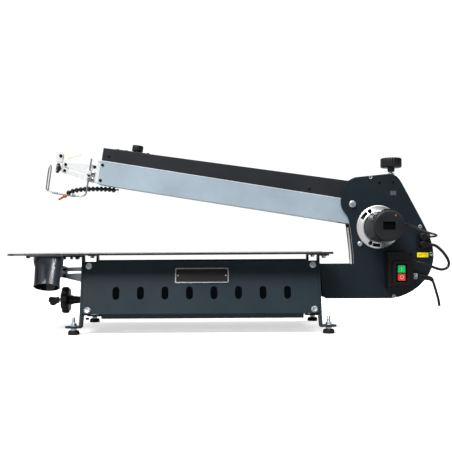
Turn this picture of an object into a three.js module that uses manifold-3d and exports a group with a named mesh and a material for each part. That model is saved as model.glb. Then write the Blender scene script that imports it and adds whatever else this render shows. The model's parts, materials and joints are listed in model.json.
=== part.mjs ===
// Parallel-link scroll saw with a 760 mm throat and a tilting head.
// Units are millimetres, +Z up. The origin is in the worktable's top face, on the tilt axis,
// 300 mm behind the blade line. +X points to the rear (the motor end), -X to the operator,
// +Y to the operator's left. The head tilts about the X axis.
import * as THREE from "three";
import { mergeVertices } from "three/addons/utils/BufferGeometryUtils.js";
import Module from "manifold-3d";

const wasm = await Module();
wasm.setup();

const { degToRad, clamp } = THREE.MathUtils;

// ================================================================ driving dimensions
// Unless a comment says otherwise, pairs are [X, Z] places of axes parallel to Y.
const BLADE_X = -300; // the blade line crosses the table here

// base
const TABLE_BOTTOM = -5;
const TABLE_FRONT = -401.5;
const TABLE_REAR = 396.5;
const FRONT_LEG = { outer: -221, inner: -216, inward: 1, footX: -235.5 }; // faces in X
const REAR_LEG = { outer: 363, inner: 358, inward: -1, footX: 379.5 };
const ARCH_RADIUS = 99.5; // opening in both leg plates, centred on the tilt axis
const FOOT_Y = 153;

const PANEL_TOP = -20.5;
const PANEL_SLOPE = 0.27; // the side panels spread towards the floor
const PANEL_HALF = 122; // half width of the base at the panel's top edge
const PANEL_SHEET = 2;
// distance from the centre plane to a side panel's outer face at height z
const baseHalf = (z) => PANEL_HALF + (PANEL_TOP - z) * PANEL_SLOPE;

// tilt gears
const GEAR_MODULE = 1.5;
const SECTOR_TEETH = 149; // teeth a full circle would have
const PINION_TEETH = 14;
const SECTOR_RADIUS = (GEAR_MODULE * SECTOR_TEETH) / 2;
const PINION_RADIUS = (GEAR_MODULE * PINION_TEETH) / 2;
const PINION_Z = -(SECTOR_RADIUS + PINION_RADIUS + 0.1);

// head
const PLATE_OUTER = 34; // outer faces of the head's side plates, from the centre plane
const PLATE_INNER = PLATE_OUTER - 3;
const MOUNT_Y = -PLATE_OUTER - 0.3; // where parts sit on the right plate
const COVER_HALF = PLATE_INNER - 0.25; // half width of the sheets between the plates
const BEAM = { front: -200, rear: 440, half: 22, bottom: -88, top: -40, wall: 3 };
const TENSION_X = 568; // vertical axis of the tension screw
const MOTOR = [526, 62.4];
const ROCKER_PIVOT = [478.7, 19.8];
const LOWER_ROD_REAR = [495.4, -76.4];
const CONROD_PIN = [471.3, MOTOR[1]];
const CRANK_THROW = 1.04;

// upper arm; its own frame has its origin on the lift pivot
const ARM_PIVOT = [460.5, 122];
const ARM_RISE = degToRad(9.3); // the raised arm at rest
const ARM_HALF = 27;
const ARM_SHEET = 2.5;
const ARM_INNER = ARM_HALF - ARM_SHEET;

// the parallel links' joints; the second of each pair lies one gap below the first
const below = ([x, z], gap) => [x, z - gap];
const UPPER_GAP = 16;
const UPPER_FIXED = [-674, -26]; // on the arm's nose, in the upper arm's frame
const UPPER_FIXED_LOW = below(UPPER_FIXED, UPPER_GAP);
const UPPER_CLAMP = [-750.5, -12.5]; // on the blade clamp
const UPPER_CLAMP_LOW = below(UPPER_CLAMP, UPPER_GAP);
const UPPER_ROD = [-672, -7]; // where the push rod takes hold
const LOWER_GAP = 16.5;
const LOWER_FIXED = [-209.5, -41.5]; // on the lower beam, in the machine's frame
const LOWER_FIXED_LOW = below(LOWER_FIXED, LOWER_GAP);
const LOWER_CLAMP = [-286.5, -43];
const LOWER_CLAMP_LOW = below(LOWER_CLAMP, LOWER_GAP);
const LOWER_ROD = [-209.5, -77];

// ================================================================ solids
// scales the facet counts asked for, with a floor of ten
const FACET_SCALE = 0.66;
const facets = (count) => Math.max(10, 2 * Math.round((count * FACET_SCALE) / 2));

function solid(source) {
  const loose = source.index ? source.toNonIndexed() : source;
  const bare = new THREE.BufferGeometry().setAttribute("position", loose.getAttribute("position"));
  const merged = mergeVertices(bare, 1e-4);
  return new wasm.Manifold(
    new wasm.Mesh({
      numProp: 3,
      vertProperties: new Float32Array(merged.attributes.position.array),
      triVerts: new Uint32Array(merged.index.array),
    }),
  );
}

function geometry(manifold) {
  const mesh = manifold.getMesh();
  const flat = new THREE.BufferGeometry()
    .setAttribute("position", new THREE.BufferAttribute(new Float32Array(mesh.vertProperties), 3))
    .setIndex(new THREE.BufferAttribute(new Uint32Array(mesh.triVerts), 1))
    .toNonIndexed();
  flat.computeVertexNormals();
  return flat;
}

const join = (...parts) => geometry(parts.map(solid).reduce((a, b) => a.add(b)));
const cut = (body, ...tools) =>
  geometry(tools.map(solid).reduce((a, b) => a.subtract(b), solid(body)));

// a box between two faces on each axis, given in either order
function block(x0, x1, y0, y1, z0, z1) {
  const box = new THREE.BoxGeometry(Math.abs(x1 - x0), Math.abs(y1 - y0), Math.abs(z1 - z0));
  return box.translate((x0 + x1) / 2, (y0 + y1) / 2, (z0 + z1) / 2);
}

// cylinders along each axis: the two ends, then the axis's place
function rodX(x0, x1, y, z, radius, sides, endRadius = radius) {
  return new THREE.CylinderGeometry(endRadius, radius, x1 - x0, facets(sides))
    .rotateZ(-Math.PI / 2)
    .translate((x0 + x1) / 2, y, z);
}
function rodY(y0, y1, x, z, radius, sides) {
  return new THREE.CylinderGeometry(radius, radius, y1 - y0, facets(sides))
    .translate(x, (y0 + y1) / 2, z);
}
function rodZ(z0, z1, x, y, radius, sides) {
  return new THREE.CylinderGeometry(radius, radius, z1 - z0, facets(sides))
    .rotateX(Math.PI / 2)
    .translate(x, y, (z0 + z1) / 2);
}

const shapeOf = (profile) => new THREE.Shape(profile.map((p) => new THREE.Vector2(...p)));
const extrude = (profile, depth) =>
  new THREE.ExtrudeGeometry(shapeOf(profile), { depth, bevelEnabled: false });

// a profile in X and Z, extruded from y0 to y1
const extrudeXZ = (profile, y0, y1) =>
  extrude(profile, y1 - y0).rotateX(Math.PI / 2).translate(0, y1, 0);
// a profile in X and Y, extruded from z0 to z1
const extrudeXY = (profile, z0, z1) => extrude(profile, z1 - z0).translate(0, 0, z0);
// a profile in Y and Z, extruded between two X values given in either order
const YZ_TO_WORLD = new THREE.Matrix4().makeBasis(
  new THREE.Vector3(0, 1, 0),
  new THREE.Vector3(0, 0, 1),
  new THREE.Vector3(1, 0, 0),
);
const extrudeYZ = (profile, x0, x1) =>
  extrude(profile, Math.abs(x1 - x0)).applyMatrix4(YZ_TO_WORLD).translate(Math.min(x0, x1), 0, 0);

// a round rod along a smooth path of [x, y, z] points
function cable(points, radius, steps, sides) {
  const vectors = points.map((p) => new THREE.Vector3(...p));
  const extrudePath = new THREE.CatmullRomCurve3(vectors, false, "centripetal");
  const section = shapeOf(circle(0, 0, radius, sides));
  return new THREE.ExtrudeGeometry(section, { steps, bevelEnabled: false, extrudePath });
}

// a turned part about +Z: [radius, height] pairs that rise from the axis and return to it
function turned(profile, sides) {
  const points = profile.map((p) => new THREE.Vector2(...p));
  return geometry(solid(new THREE.LatheGeometry(points, facets(sides)).rotateX(Math.PI / 2)));
}

// ================================================================ profiles
const arc = (cx, cy, radius, from, to, steps) =>
  Array.from({ length: steps + 1 }, (_, k) => {
    const angle = from + ((to - from) * k) / steps;
    return [cx + radius * Math.cos(angle), cy + radius * Math.sin(angle)];
  });

// a closed circle whose radius may swell and shrink around its rim
const circle = (cx, cy, radius, count, wave = 0, lobes = 0) =>
  Array.from({ length: count }, (_, k) => {
    const angle = (2 * Math.PI * k) / count;
    const reach = radius + wave * Math.cos(lobes * angle);
    return [cx + reach * Math.cos(angle), cy + reach * Math.sin(angle)];
  });

const mirrored = (profile) => profile.map(([across, up]) => [-across, up]).reverse();

// rounds the corners of a closed profile of [a, b, radius] points; radius 0 stays sharp
function rounded(corners, steps) {
  return corners.flatMap(([x, y, radius], i) => {
    if (!radius) return [[x, y]];
    const corner = new THREE.Vector2(x, y);
    const toward = ([a, b]) => new THREE.Vector2(a - x, b - y).normalize();
    const back = toward(corners.at(i - 1));
    const ahead = toward(corners[(i + 1) % corners.length]);
    const half = Math.acos(clamp(back.dot(ahead), -1, 1)) / 2;
    const centre = back.clone().add(ahead).normalize();
    centre.multiplyScalar(radius / Math.sin(half)).add(corner);
    const angleOfTouch = (direction) => {
      const touch = corner.clone().addScaledVector(direction, radius / Math.tan(half));
      return Math.atan2(touch.y - centre.y, touch.x - centre.x);
    };
    const from = angleOfTouch(back);
    let to = angleOfTouch(ahead);
    while (to - from > Math.PI) to -= 2 * Math.PI;
    while (to - from < -Math.PI) to += 2 * Math.PI;
    return arc(centre.x, centre.y, radius, from, to, steps);
  });
}

// an upright slot with round ends
function slotProfile(cx, cy, width, height) {
  const radius = width / 2;
  const reach = height / 2 - radius;
  return [
    ...arc(cx, cy + reach, radius, 0, Math.PI, 5),
    ...arc(cx, cy - reach, radius, Math.PI, 2 * Math.PI, 5),
  ];
}

// an open path shifted sideways, positive to the right of travel
function offsetPath(path, distance) {
  const last = path.length - 1;
  const rightOf = (from, to) => new THREE.Vector2(to[1] - from[1], from[0] - to[0]).normalize();
  return path.map(([x, y], i) => {
    const before = rightOf(path[Math.max(i - 1, 0)], path[Math.max(i, 1)]);
    const after = rightOf(path[Math.min(i, last - 1)], path[Math.min(i + 1, last)]);
    const mitre = before.clone().add(after).normalize();
    const shift = distance / Math.max(mitre.dot(before), 0.4); // the floor limits sharp mitres
    return [x + mitre.x * shift, y + mitre.y * shift];
  });
}
const strip = (path, near, far) => [...offsetPath(path, near), ...offsetPath(path, far).reverse()];

// a flat bar with round ends from a to b
function capsule(a, b, radius) {
  const heading = Math.atan2(b[1] - a[1], b[0] - a[0]);
  const quarter = Math.PI / 2;
  return [
    ...arc(...a, radius, heading + quarter, heading + 3 * quarter, 8),
    ...arc(...b, radius, heading - quarter, heading + quarter, 8),
  ];
}

// the convex outline around discs, each [centre, radius]
function hullOf(...discs) {
  const points = discs.flatMap(([centre, radius]) => circle(...centre, radius, 20));
  points.sort((p, q) => p[0] - q[0] || p[1] - q[1]);
  const turn = (o, p, q) => (p[0] - o[0]) * (q[1] - o[1]) - (p[1] - o[1]) * (q[0] - o[0]);
  const chain = (ordered) => {
    const kept = [];
    for (const p of ordered) {
      while (kept.length >= 2 && turn(kept.at(-2), kept.at(-1), p) <= 1e-9) kept.pop();
      kept.push(p);
    }
    return kept.slice(0, -1);
  };
  return [...chain(points), ...chain([...points].reverse())];
}

// ================================================================ materials
const paint = (settings) => new THREE.MeshStandardMaterial(settings);
const MAT = {
  navy: paint({ color: 0x1e2a33, roughness: 0.45, metalness: 0.1 }),
  armBlue: paint({ color: 0xa8bccb, roughness: 0.4, metalness: 0.1 }),
  armBlack: paint({ color: 0x2c2d33, roughness: 0.5, metalness: 0.1 }),
  table: paint({ color: 0x8b8c90, roughness: 0.35, metalness: 0.8 }),
  zinc: paint({ color: 0xc9d2d6, roughness: 0.3, metalness: 0.9 }),
  alu: paint({ color: 0xdadada, roughness: 0.35, metalness: 0.8 }),
  steel: paint({ color: 0x9a9ea2, roughness: 0.4, metalness: 0.9 }),
  plastic: paint({ color: 0x1b1c1f, roughness: 0.55, metalness: 0 }),
  rubber: paint({ color: 0x141414, roughness: 0.8, metalness: 0 }),
  cream: paint({ color: 0xf0e6bd, roughness: 0.4, metalness: 0 }),
  orange: paint({ color: 0xf04e12, roughness: 0.5, metalness: 0 }),
  green: paint({ color: 0x1fb254, roughness: 0.35, metalness: 0 }),
  red: paint({ color: 0xea4a3c, roughness: 0.35, metalness: 0 }),
  cable: paint({ color: 0x1a1a1b, roughness: 0.6, metalness: 0 }),
};

const saw = new THREE.Group();
const head = new THREE.Group();
const arm = new THREE.Group();

function add(name, shape, material, parent = saw) {
  const mesh = new THREE.Mesh(shape, material);
  mesh.name = name;
  parent.add(mesh);
}

// ================================================================ base
function workTable() {
  const half = 178;
  const corner = 56;
  const notch = { x: 371, half: 64 }; // in the rear edge
  const outline = rounded(
    [
      [TABLE_FRONT, -half, corner],
      [TABLE_REAR, -half, corner],
      [TABLE_REAR, -notch.half, 6],
      [notch.x, -notch.half, 8],
      [notch.x, notch.half, 8],
      [TABLE_REAR, notch.half, 6],
      [TABLE_REAR, half, corner],
      [TABLE_FRONT, half, corner],
    ],
    8,
  );
  const hole = rodZ(TABLE_BOTTOM - 2, 2, BLADE_X, 0, 17, 40);
  const kerf = block(TABLE_FRONT - 5, BLADE_X, -1.6, 1.6, TABLE_BOTTOM - 2, 2);
  return cut(extrudeXY(outline, TABLE_BOTTOM, 0), hole, kerf);
}
add("work_table", workTable(), MAT.table);

function legFrame({ outer, inner, inward, footX }, ...extraHoles) {
  const tab = { bottom: -179.5, top: -175.5, y: 152.5, half: 15.5, tip: outer - inward * 20 };
  const edge = (z) => [baseHalf(z) + 1, z];
  const leftHalf = [edge(-5.4), edge(tab.bottom), [137, tab.bottom], [131, -172], [118, -152]];
  const middle = (outer + inner) / 2;
  const arch = rodX(middle - 4.5, middle + 4.5, 0, 0, ARCH_RADIUS, 110);
  const web = extrudeYZ([...leftHalf, ...mirrored(leftHalf)], outer, inner);
  const parts = [cut(web, arch, ...extraHoles)];
  for (const side of [1, -1]) {
    // flange that carries the table
    parts.push(block(inner, outer - inward * 24, side * 101, side * 118, -9.4, -5.3));
    // foot tab with a rounded nose
    const root = [side * (tab.y - tab.half), side * (tab.y + tab.half)];
    const footTab = join(
      block(inner, tab.tip, ...root, tab.bottom, tab.top),
      rodZ(tab.bottom, tab.top, tab.tip, side * tab.y, tab.half, 32),
    );
    parts.push(cut(footTab, rodZ(tab.bottom - 2, tab.top + 2, footX, side * FOOT_Y, 4.4, 20)));
    // side flange behind the panel
    const gap = PANEL_SHEET + 0.9;
    const flange = [
      [side * (baseHalf(-24) - gap), -24],
      [side * (baseHalf(-150) - gap), -150],
      [side * (baseHalf(-150) - gap - 3), -150],
      [side * (baseHalf(-24) - gap - 3), -24],
    ];
    parts.push(extrudeYZ(flange, inner - inward, inner + inward * 22));
  }
  return join(...parts);
}
const shaftHole = rodX(FRONT_LEG.outer - 2, FRONT_LEG.inner + 2, 0, PINION_Z, 5.5, 24);
add("front_leg_frame", legFrame(FRONT_LEG, shaftHole), MAT.navy);
add("rear_leg_frame", legFrame(REAR_LEG), MAT.navy);

// a folded sheet between the legs; side is +1 on the left
function sidePanel(side) {
  const front = FRONT_LEG.inner + 0.5;
  const rear = REAR_LEG.inner - 0.5;
  const bottom = -146.6;
  const topHalf = baseHalf(PANEL_TOP);
  const bottomHalf = baseHalf(bottom);
  const onSide = (profile) => profile.map(([y, z]) => [side * y, z]);
  const wall = onSide([
    [topHalf, PANEL_TOP],
    [bottomHalf, bottom],
    [bottomHalf - PANEL_SHEET, bottom],
    [topHalf - PANEL_SHEET, PANEL_TOP - PANEL_SHEET],
    [topHalf - 12, PANEL_TOP - PANEL_SHEET],
    [topHalf - 12, PANEL_TOP],
  ]);
  const lip = onSide([
    [baseHalf(bottom + 1), bottom + 1],
    [bottomHalf, bottom],
    [bottomHalf - 9, bottom - 12.5],
    [bottomHalf - 10.8, bottom - 11.5],
    [bottomHalf - PANEL_SHEET, bottom + 1],
  ]);
  // the top lip keeps clear of the leg flanges
  const relief = (x0, x1) => {
    const y = side * (topHalf - PANEL_SHEET - 0.2);
    return block(x0, x1, side * 80, y, PANEL_TOP - 6, PANEL_TOP + 3);
  };
  const sheet = cut(
    extrudeYZ(wall, front, rear),
    relief(front - 1, front + 34),
    relief(rear - 24, rear + 1),
  );
  return join(sheet, extrudeYZ(lip, -169.5, 320));
}

// the row of slots in the right panel
function panelSlots() {
  const slot = { count: 8, pitch: 59.5, firstX: -134.7, z: -97.4, width: 16.8, height: 32 };
  return Array.from({ length: slot.count }, (_, i) => {
    const x = slot.firstX + i * slot.pitch;
    return extrudeXZ(slotProfile(x, slot.z, slot.width, slot.height), -170, -110);
  });
}
add("right_side_panel", cut(sidePanel(-1), ...panelSlots()), MAT.navy);
add("left_side_panel", sidePanel(1), MAT.navy);

const FLOOR_Z = -196; // underside of the rubber feet
// [radius, Z]
const FOOT_PROFILE = [
  [0, FLOOR_Z], [13, FLOOR_Z], [14, FLOOR_Z + 2], [12.5, -186.5], [11, -185.6], [6, -185.6],
  [6, -183.6], [4, -183.6], [4, -154.6], [3.2, -153.6], [0, -153.6],
];
for (const [end, { footX }] of [["front", FRONT_LEG], ["rear", REAR_LEG]]) {
  for (const [hand, side] of [["right", -1], ["left", 1]]) {
    const foot = turned(FOOT_PROFILE, 28).translate(footX, side * FOOT_Y, 0);
    add(`levelling_foot_${end}_${hand}`, foot, MAT.rubber);
  }
}

// a stepped chute under the table whose open side faces the blade
function dustPort() {
  // [radius, distance along the chute]
  const outer = [[0, 0], [37.5, 0], [37, 30], [33, 42], [31.8, 80], [33, 92], [0, 92]];
  const bore = [[0, -1], [34.5, -1], [34.3, 29], [30.6, 42], [29.4, 80], [30.6, 93], [0, 93]];
  const core = [[0, 0], [33.6, 0], [33.6, 30], [30.2, 42], [29.4, 80], [30.2, 91.5], [0, 91.5]];
  // runs downwards, its mouth leaning to the right of the machine
  const hang = (part) => part.rotateX(degToRad(160)).translate(-315, -58, 2);
  // limits well clear of the chute
  const [xMin, xMax, yMin, yMax, zMin, zMax] = [-400, -200, -200, 100, -200, 60];
  const tube = cut(
    hang(cut(turned(outer, 36), turned(bore, 36))),
    block(xMin, xMax, yMin, yMax, -8.5, zMax),
    block(-320, -255, -61, 30, -90, 5),
  );
  // lower down the cut side is closed by flat walls, left over from a solid core
  const lining = cut(
    hang(turned(core, 36)),
    block(xMin, xMax, yMin, -62.8, zMin, zMax),
    block(xMin, -321.8, yMin, yMax, zMin, zMax),
    block(-320.1, xMax, -60.9, yMax, zMin, zMax),
    block(xMin, xMax, yMin, yMax, -40, zMax),
  );
  const flangeOutline = [
    [-361, -104, 8], [-270, -104, 8], [-270, -60.8, 0.8],
    [-320.2, -60.8, 1], [-320.2, -14, 0.8], [-361, -14, 8],
  ];
  const flange = cut(
    extrudeXY(rounded(flangeOutline, 3), -8.6, -5.3),
    rodZ(-10, -4, -315, -59.5, 34, 40),
  );
  return join(tube, flange, lining);
}
add("dust_port", dustPort(), MAT.plastic);

// ================================================================ tilt drive
// involute teeth numbered from..to, as [radius, angle] pairs
function gearOutline(teeth, pitchRadius, from, to, shift = 0) {
  const pressure = degToRad(20);
  const baseRadius = pitchRadius * Math.cos(pressure);
  const rootRadius = pitchRadius - GEAR_MODULE * 1.25;
  const tipRadius = pitchRadius + GEAR_MODULE * 0.92;
  const halfTooth = Math.PI / (2 * teeth) - 0.16 / pitchRadius; // thinned for backlash
  const involute = (angle) => Math.tan(angle) - angle;
  const halfAngleAt = (radius) => {
    const flank = Math.acos(baseRadius / Math.max(radius, baseRadius));
    return halfTooth + involute(pressure) - involute(flank);
  };
  const radii = [Math.max(baseRadius, rootRadius + 0.3), pitchRadius, tipRadius];
  const halfRoot = halfAngleAt(radii[0]) + 0.12 / pitchRadius;
  const outline = [];
  for (let i = from; i <= to; i++) {
    const centre = (2 * Math.PI * i) / teeth + shift;
    outline.push([rootRadius, centre - halfRoot]);
    for (const radius of radii) outline.push([radius, centre - halfAngleAt(radius)]);
    for (const radius of [...radii].reverse()) outline.push([radius, centre + halfAngleAt(radius)]);
    outline.push([rootRadius, centre + halfRoot]);
  }
  return outline;
}

// both trunnions have a journal ring that sits in a leg's arch and a window for the beam
const trunnionArc = (radius) => arc(0, 0, radius, degToRad(-128), degToRad(-52), 24);
const journal = (x0, x1) =>
  extrudeYZ([...trunnionArc(ARCH_RADIUS - 0.3), ...trunnionArc(92).reverse()], x0, x1);
const trunnionTop = [[BEAM.half, -33], [-BEAM.half, -33]]; // [Y, Z]
const beamHalfWindow = BEAM.half + 0.3;
const beamWindow = block(
  -260, 420, -beamHalfWindow, beamHalfWindow, BEAM.bottom - 0.3, BEAM.top + 0.3,
);

function frontTrunnion() {
  // angles run from straight down, positive towards +Y
  const polar = ([radius, angle]) => [radius * Math.sin(angle), -radius * Math.cos(angle)];
  const toothAngle = (2 * Math.PI) / SECTOR_TEETH;
  // the head leans further one way than the other, so the teeth run further on one side
  const first = Math.round(degToRad(-33) / toothAngle);
  const last = Math.round(degToRad(48) / toothAngle);
  const from = (first - 0.5) * toothAngle;
  const to = (last + 0.5) * toothAngle;
  const root = SECTOR_RADIUS - GEAR_MODULE * 1.25;
  const sector = [
    polar([root, from]),
    ...gearOutline(SECTOR_TEETH, SECTOR_RADIUS, first, last).map(polar),
    polar([root, to]),
    polar([60, to]),
    ...trunnionTop,
    polar([60, from]),
  ];
  return cut(join(extrudeYZ(sector, -191, -185), journal(-223, -188)), beamWindow);
}
add("front_trunnion", frontTrunnion(), MAT.steel);

function rearTrunnion() {
  const plate = extrudeYZ([...trunnionArc(106), ...trunnionTop], 346, 352);
  return cut(join(plate, journal(349, 365)), beamWindow);
}
add("rear_trunnion", rearTrunnion(), MAT.steel);

function pinionShaft() {
  const halfTooth = Math.PI / PINION_TEETH;
  const teeth = gearOutline(PINION_TEETH, PINION_RADIUS, 0, PINION_TEETH - 1, halfTooth);
  const outline = teeth.map(([radius, angle]) => [
    radius * Math.sin(angle),
    radius * Math.cos(angle) + PINION_Z,
  ]);
  const shaft = join(
    extrudeYZ(outline, -194, -182),
    rodX(-303, -176, 0, PINION_Z, 5, 24),
    rodX(-239.6, -221.4, 0, PINION_Z, 9.5, 28),
  );
  return cut(shaft, rodX(-306, -286, 0, PINION_Z, 3.4, 20));
}
add("tilt_pinion_shaft", pinionShaft(), MAT.steel);

function handwheel() {
  // seven lobes, the first pointing up
  const rim = circle(PINION_Z, 0, 32.2, 56, 2.6, 7).map(([z, y]) => [y, z]);
  const wheel = join(extrudeYZ(rim, -294, -275), rodX(-276, -240, 0, PINION_Z, 11, 28, 9));
  return cut(wheel, rodX(-300, -238, 0, PINION_Z, 5.2, 24));
}
add("tilt_handwheel", handwheel(), MAT.plastic);

function lockKnob() {
  const wing = [
    [-328, PINION_Z + 9, 3], [-306, PINION_Z + 6, 3], [-304, PINION_Z - 7, 3],
    [-318, PINION_Z - 15, 4], [-327, PINION_Z - 12, 4],
  ];
  return join(
    rodX(-305, -288, 0, PINION_Z, 3, 18),
    rodX(-330, -303.4, 0, PINION_Z, 6, 24, 9),
    extrudeXZ(rounded(wing, 3), -4, 4),
  );
}
add("tilt_lock_knob", lockKnob(), MAT.plastic);

// ================================================================ tilting head
saw.add(head);

// side plate outline, [X, Z], clockwise seen with X to the right and Z up
const HOUSING_FRONT = [
  [463.4, -31.8], [461.3, 3.7], [454.1, 66.8], [451.6, 77.3], [447.2, 91], [440, 100.5],
  [433.5, 110], [430.2, 122.2], [430.2, 132], [431.8, 142], [437.4, 159.4], [443.3, 174.3],
  [449, 181],
];
// the stretch followed by the rear cover: over the top, down the rear and forward below
const HOUSING_REAR = [
  [457.2, 186.5], [467.8, 190.9], [499.9, 194.1], [542.6, 198.2], [556, 199.2], [566, 197.6],
  [574.7, 192.6], [581, 186], [586.5, 177.5], [595.8, 160.3], [637.7, 81.3], [653.7, 49],
  [661.5, 28], [666.3, 10], [668.1, -8], [667.4, -26], [663.8, -42], [657, -58],
  [645.7, -74.6], [630, -90.5], [615, -101.5], [598, -110.6], [580, -117.4], [562, -120.8],
  [545, -121.2], [390.4, -120.8],
];
const HOUSING = [...HOUSING_FRONT, ...HOUSING_REAR, [383.7, -115.4], [375.7, -31.8]];

const hexagon = ([x, z], radius, y0, y1) => extrudeXZ(circle(x, z, radius, 6), y0, y1);

function rightPlate() {
  const ends = [-PLATE_OUTER - 2, -PLATE_INNER + 2];
  return cut(
    extrudeXZ(HOUSING, -PLATE_OUTER, -PLATE_INNER),
    rodY(...ends, ...ARM_PIVOT, 6.3, 28),
    rodY(...ends, ...ROCKER_PIVOT, 5.2, 24),
    rodY(...ends, ...MOTOR, 39, 48),
  );
}
add("head_plate_right", rightPlate(), MAT.navy, head);

// the left pivot stud is welded on
function leftPlate() {
  const plate = cut(
    extrudeXZ(HOUSING, PLATE_INNER, PLATE_OUTER),
    rodY(PLATE_INNER - 2, PLATE_OUTER + 2, ...ROCKER_PIVOT, 5.2, 24),
  );
  return join(
    plate,
    rodY(19.5, PLATE_OUTER + 1, ...ARM_PIVOT, 6, 28),
    hexagon(ARM_PIVOT, 9.6, PLATE_OUTER - 0.5, PLATE_OUTER + 7.5),
  );
}
add("head_plate_left", leftPlate(), MAT.navy, head);

function throatCover() {
  const path = [[392, -31.8], [463.4, -31.8], [461.3, 3.7], [454.6, 63]];
  return extrudeXZ(strip(path, 1.4, 3.4), -COVER_HALF, COVER_HALF);
}
add("throat_cover", throatCover(), MAT.alu, head);

function rearCover() {
  const band = extrudeXZ(strip(HOUSING_REAR, 1.2, 3.2), -COVER_HALF, COVER_HALF);
  const bossPlaces = [[508.5, 188.6], [636, 61.8], [658.5, -8.5], [564.5, -113.4]];
  const bosses = bossPlaces.map((place) => rodY(-COVER_HALF, COVER_HALF, ...place, 7.5, 20));
  return cut(join(band, ...bosses), rodZ(180, 215, TENSION_X, 0, 7, 24));
}
add("rear_cover", rearCover(), MAT.navy, head);

const jointHoles = (...joints) => joints.map((joint) => rodY(-9, 9, ...joint, 3.4, 20));

// box beam inside the base, with the tongue that carries the lower links
function lowerBeam() {
  const { front, rear, half, bottom, top, wall } = BEAM;
  const inside = half - wall;
  const tube = cut(
    block(front, rear, -half, half, bottom, top),
    block(front + 5, rear + 5, -inside, inside, bottom + wall, top - wall),
    block(front - 5, front + 10, -5.4, 5.4, -84, -70), // push rod opening
  );
  const tongue = [
    [front + 2, -64.5, 0], [front + 2, -40.2, 0], [-206, -34, 3], [-216.5, -34, 5],
    [-216.5, -64.5, 5],
  ];
  const holes = jointHoles(LOWER_FIXED, LOWER_FIXED_LOW);
  return join(tube, cut(extrudeXZ(rounded(tongue, 4), -5.6, 5.6), ...holes));
}
add("lower_arm_beam", lowerBeam(), MAT.navy, head);

// a link: two side plates joined by a web, with its pins pressed in
const link = (outline, pins, web) =>
  join(
    extrudeXZ(outline, 6, 9),
    extrudeXZ(outline, -9, -6),
    web,
    ...pins.map((pin) => rodY(-9, 9, ...pin, 3, 20)),
  );
const LINK_END = 5.2; // radius of a link's plain ends
const CRANK_END = 6.2; // radius of a bell crank's other corners

const lowerLinkTop = link(
  capsule(LOWER_CLAMP, LOWER_FIXED, LINK_END),
  [LOWER_FIXED, LOWER_CLAMP],
  block(-262, -236, -6.5, 6.5, -45.2, -38.8),
);
add("lower_link_top", lowerLinkTop, MAT.steel, head);

const lowerBellCrank = link(
  hullOf([LOWER_CLAMP_LOW, LINK_END], [LOWER_FIXED_LOW, CRANK_END], [LOWER_ROD, CRANK_END]),
  [LOWER_FIXED_LOW, LOWER_CLAMP_LOW, LOWER_ROD],
  block(-262, -240, -6.5, 6.5, -62, -56),
);
add("lower_bell_crank", lowerBellCrank, MAT.steel, head);

function lowerClamp() {
  const body = [
    [-306, -62, 2], [-280.6, -66, 4], [-280.6, -36, 4], [-294, -33, 2], [-306, -33, 2],
  ];
  const screwZ = -43;
  const clampBody = join(
    extrudeXZ(rounded(body, 3), -5.6, 5.6),
    block(-306, -293, -7.5, 7.5, -50, -33), // jaw
    rodY(-14, -7, BLADE_X, screwZ, 2.6, 16),
    rodY(-18.5, -12.5, BLADE_X, screwZ, 6, 20),
  );
  const bladeSlot = block(BLADE_X - 8, BLADE_X + 4, -0.6, 0.6, -48, -28);
  return cut(clampBody, ...jointHoles(LOWER_CLAMP, LOWER_CLAMP_LOW), bladeSlot);
}
add("lower_blade_clamp", lowerClamp(), MAT.alu, head);

// a straight rod in the centre plane with a drilled eye at each end
function pushRod(front, rear, steps, frontEye) {
  const path = [
    [front[0], 0, front[1]],
    [(front[0] + rear[0]) / 2, 0, (front[1] + rear[1]) / 2],
    [rear[0], 0, rear[1]],
  ];
  const rod = join(
    cable(path, 3.6, steps, 12),
    rodY(-4.5, 4.5, ...front, frontEye, 28),
    rodY(-4.5, 4.5, ...rear, 10, 28),
  );
  return cut(rod, rodY(-6, 6, ...front, 4, 24), rodY(-6, 6, ...rear, 5.6, 24));
}
add("lower_push_rod", pushRod(LOWER_ROD, LOWER_ROD_REAR, 1, 7.4), MAT.zinc, head);

// drives both push rods from one crank
function rearRocker() {
  const lever = hullOf([ARM_PIVOT, 8], [ROCKER_PIVOT, 13], [LOWER_ROD_REAR, 8]);
  const pins = [ARM_PIVOT, LOWER_ROD_REAR, CONROD_PIN].map((p) => rodY(-4.8, 8, ...p, 4, 20));
  const hub = rodY(-29, 29, ...ROCKER_PIVOT, 9, 28);
  const bore = rodY(-32, 32, ...ROCKER_PIVOT, 5.1, 28);
  return cut(join(extrudeXZ(lever, 6.2, 12), ...pins, hub), bore);
}
add("rear_rocker", rearRocker(), MAT.steel, head);

const rockerBolt = join(
  rodY(-PLATE_OUTER - 0.3, PLATE_OUTER + 0.3, ...ROCKER_PIVOT, 5, 28),
  hexagon(ROCKER_PIVOT, 7.2, -PLATE_OUTER - 5.5, -PLATE_OUTER - 0.2),
  hexagon(ROCKER_PIVOT, 8, PLATE_OUTER + 0.2, PLATE_OUTER + 6),
);
add("rocker_pivot_bolt", rockerBolt, MAT.zinc, head);

function connectingRod() {
  const z = MOTOR[1];
  const rod = join(
    rodY(-4.5, 4.5, ...CONROD_PIN, 8.5, 28),
    rodY(-4.5, 4.5, ...MOTOR, 18, 36),
    block(CONROD_PIN[0], MOTOR[0] - 14, -3.5, 3.5, z - 6, z + 6),
  );
  return cut(rod, rodY(-6, 6, ...CONROD_PIN, 4.4, 24), rodY(-6, 6, ...MOTOR, 13.4, 36));
}
add("connecting_rod", connectingRod(), MAT.alu, head);

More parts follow.
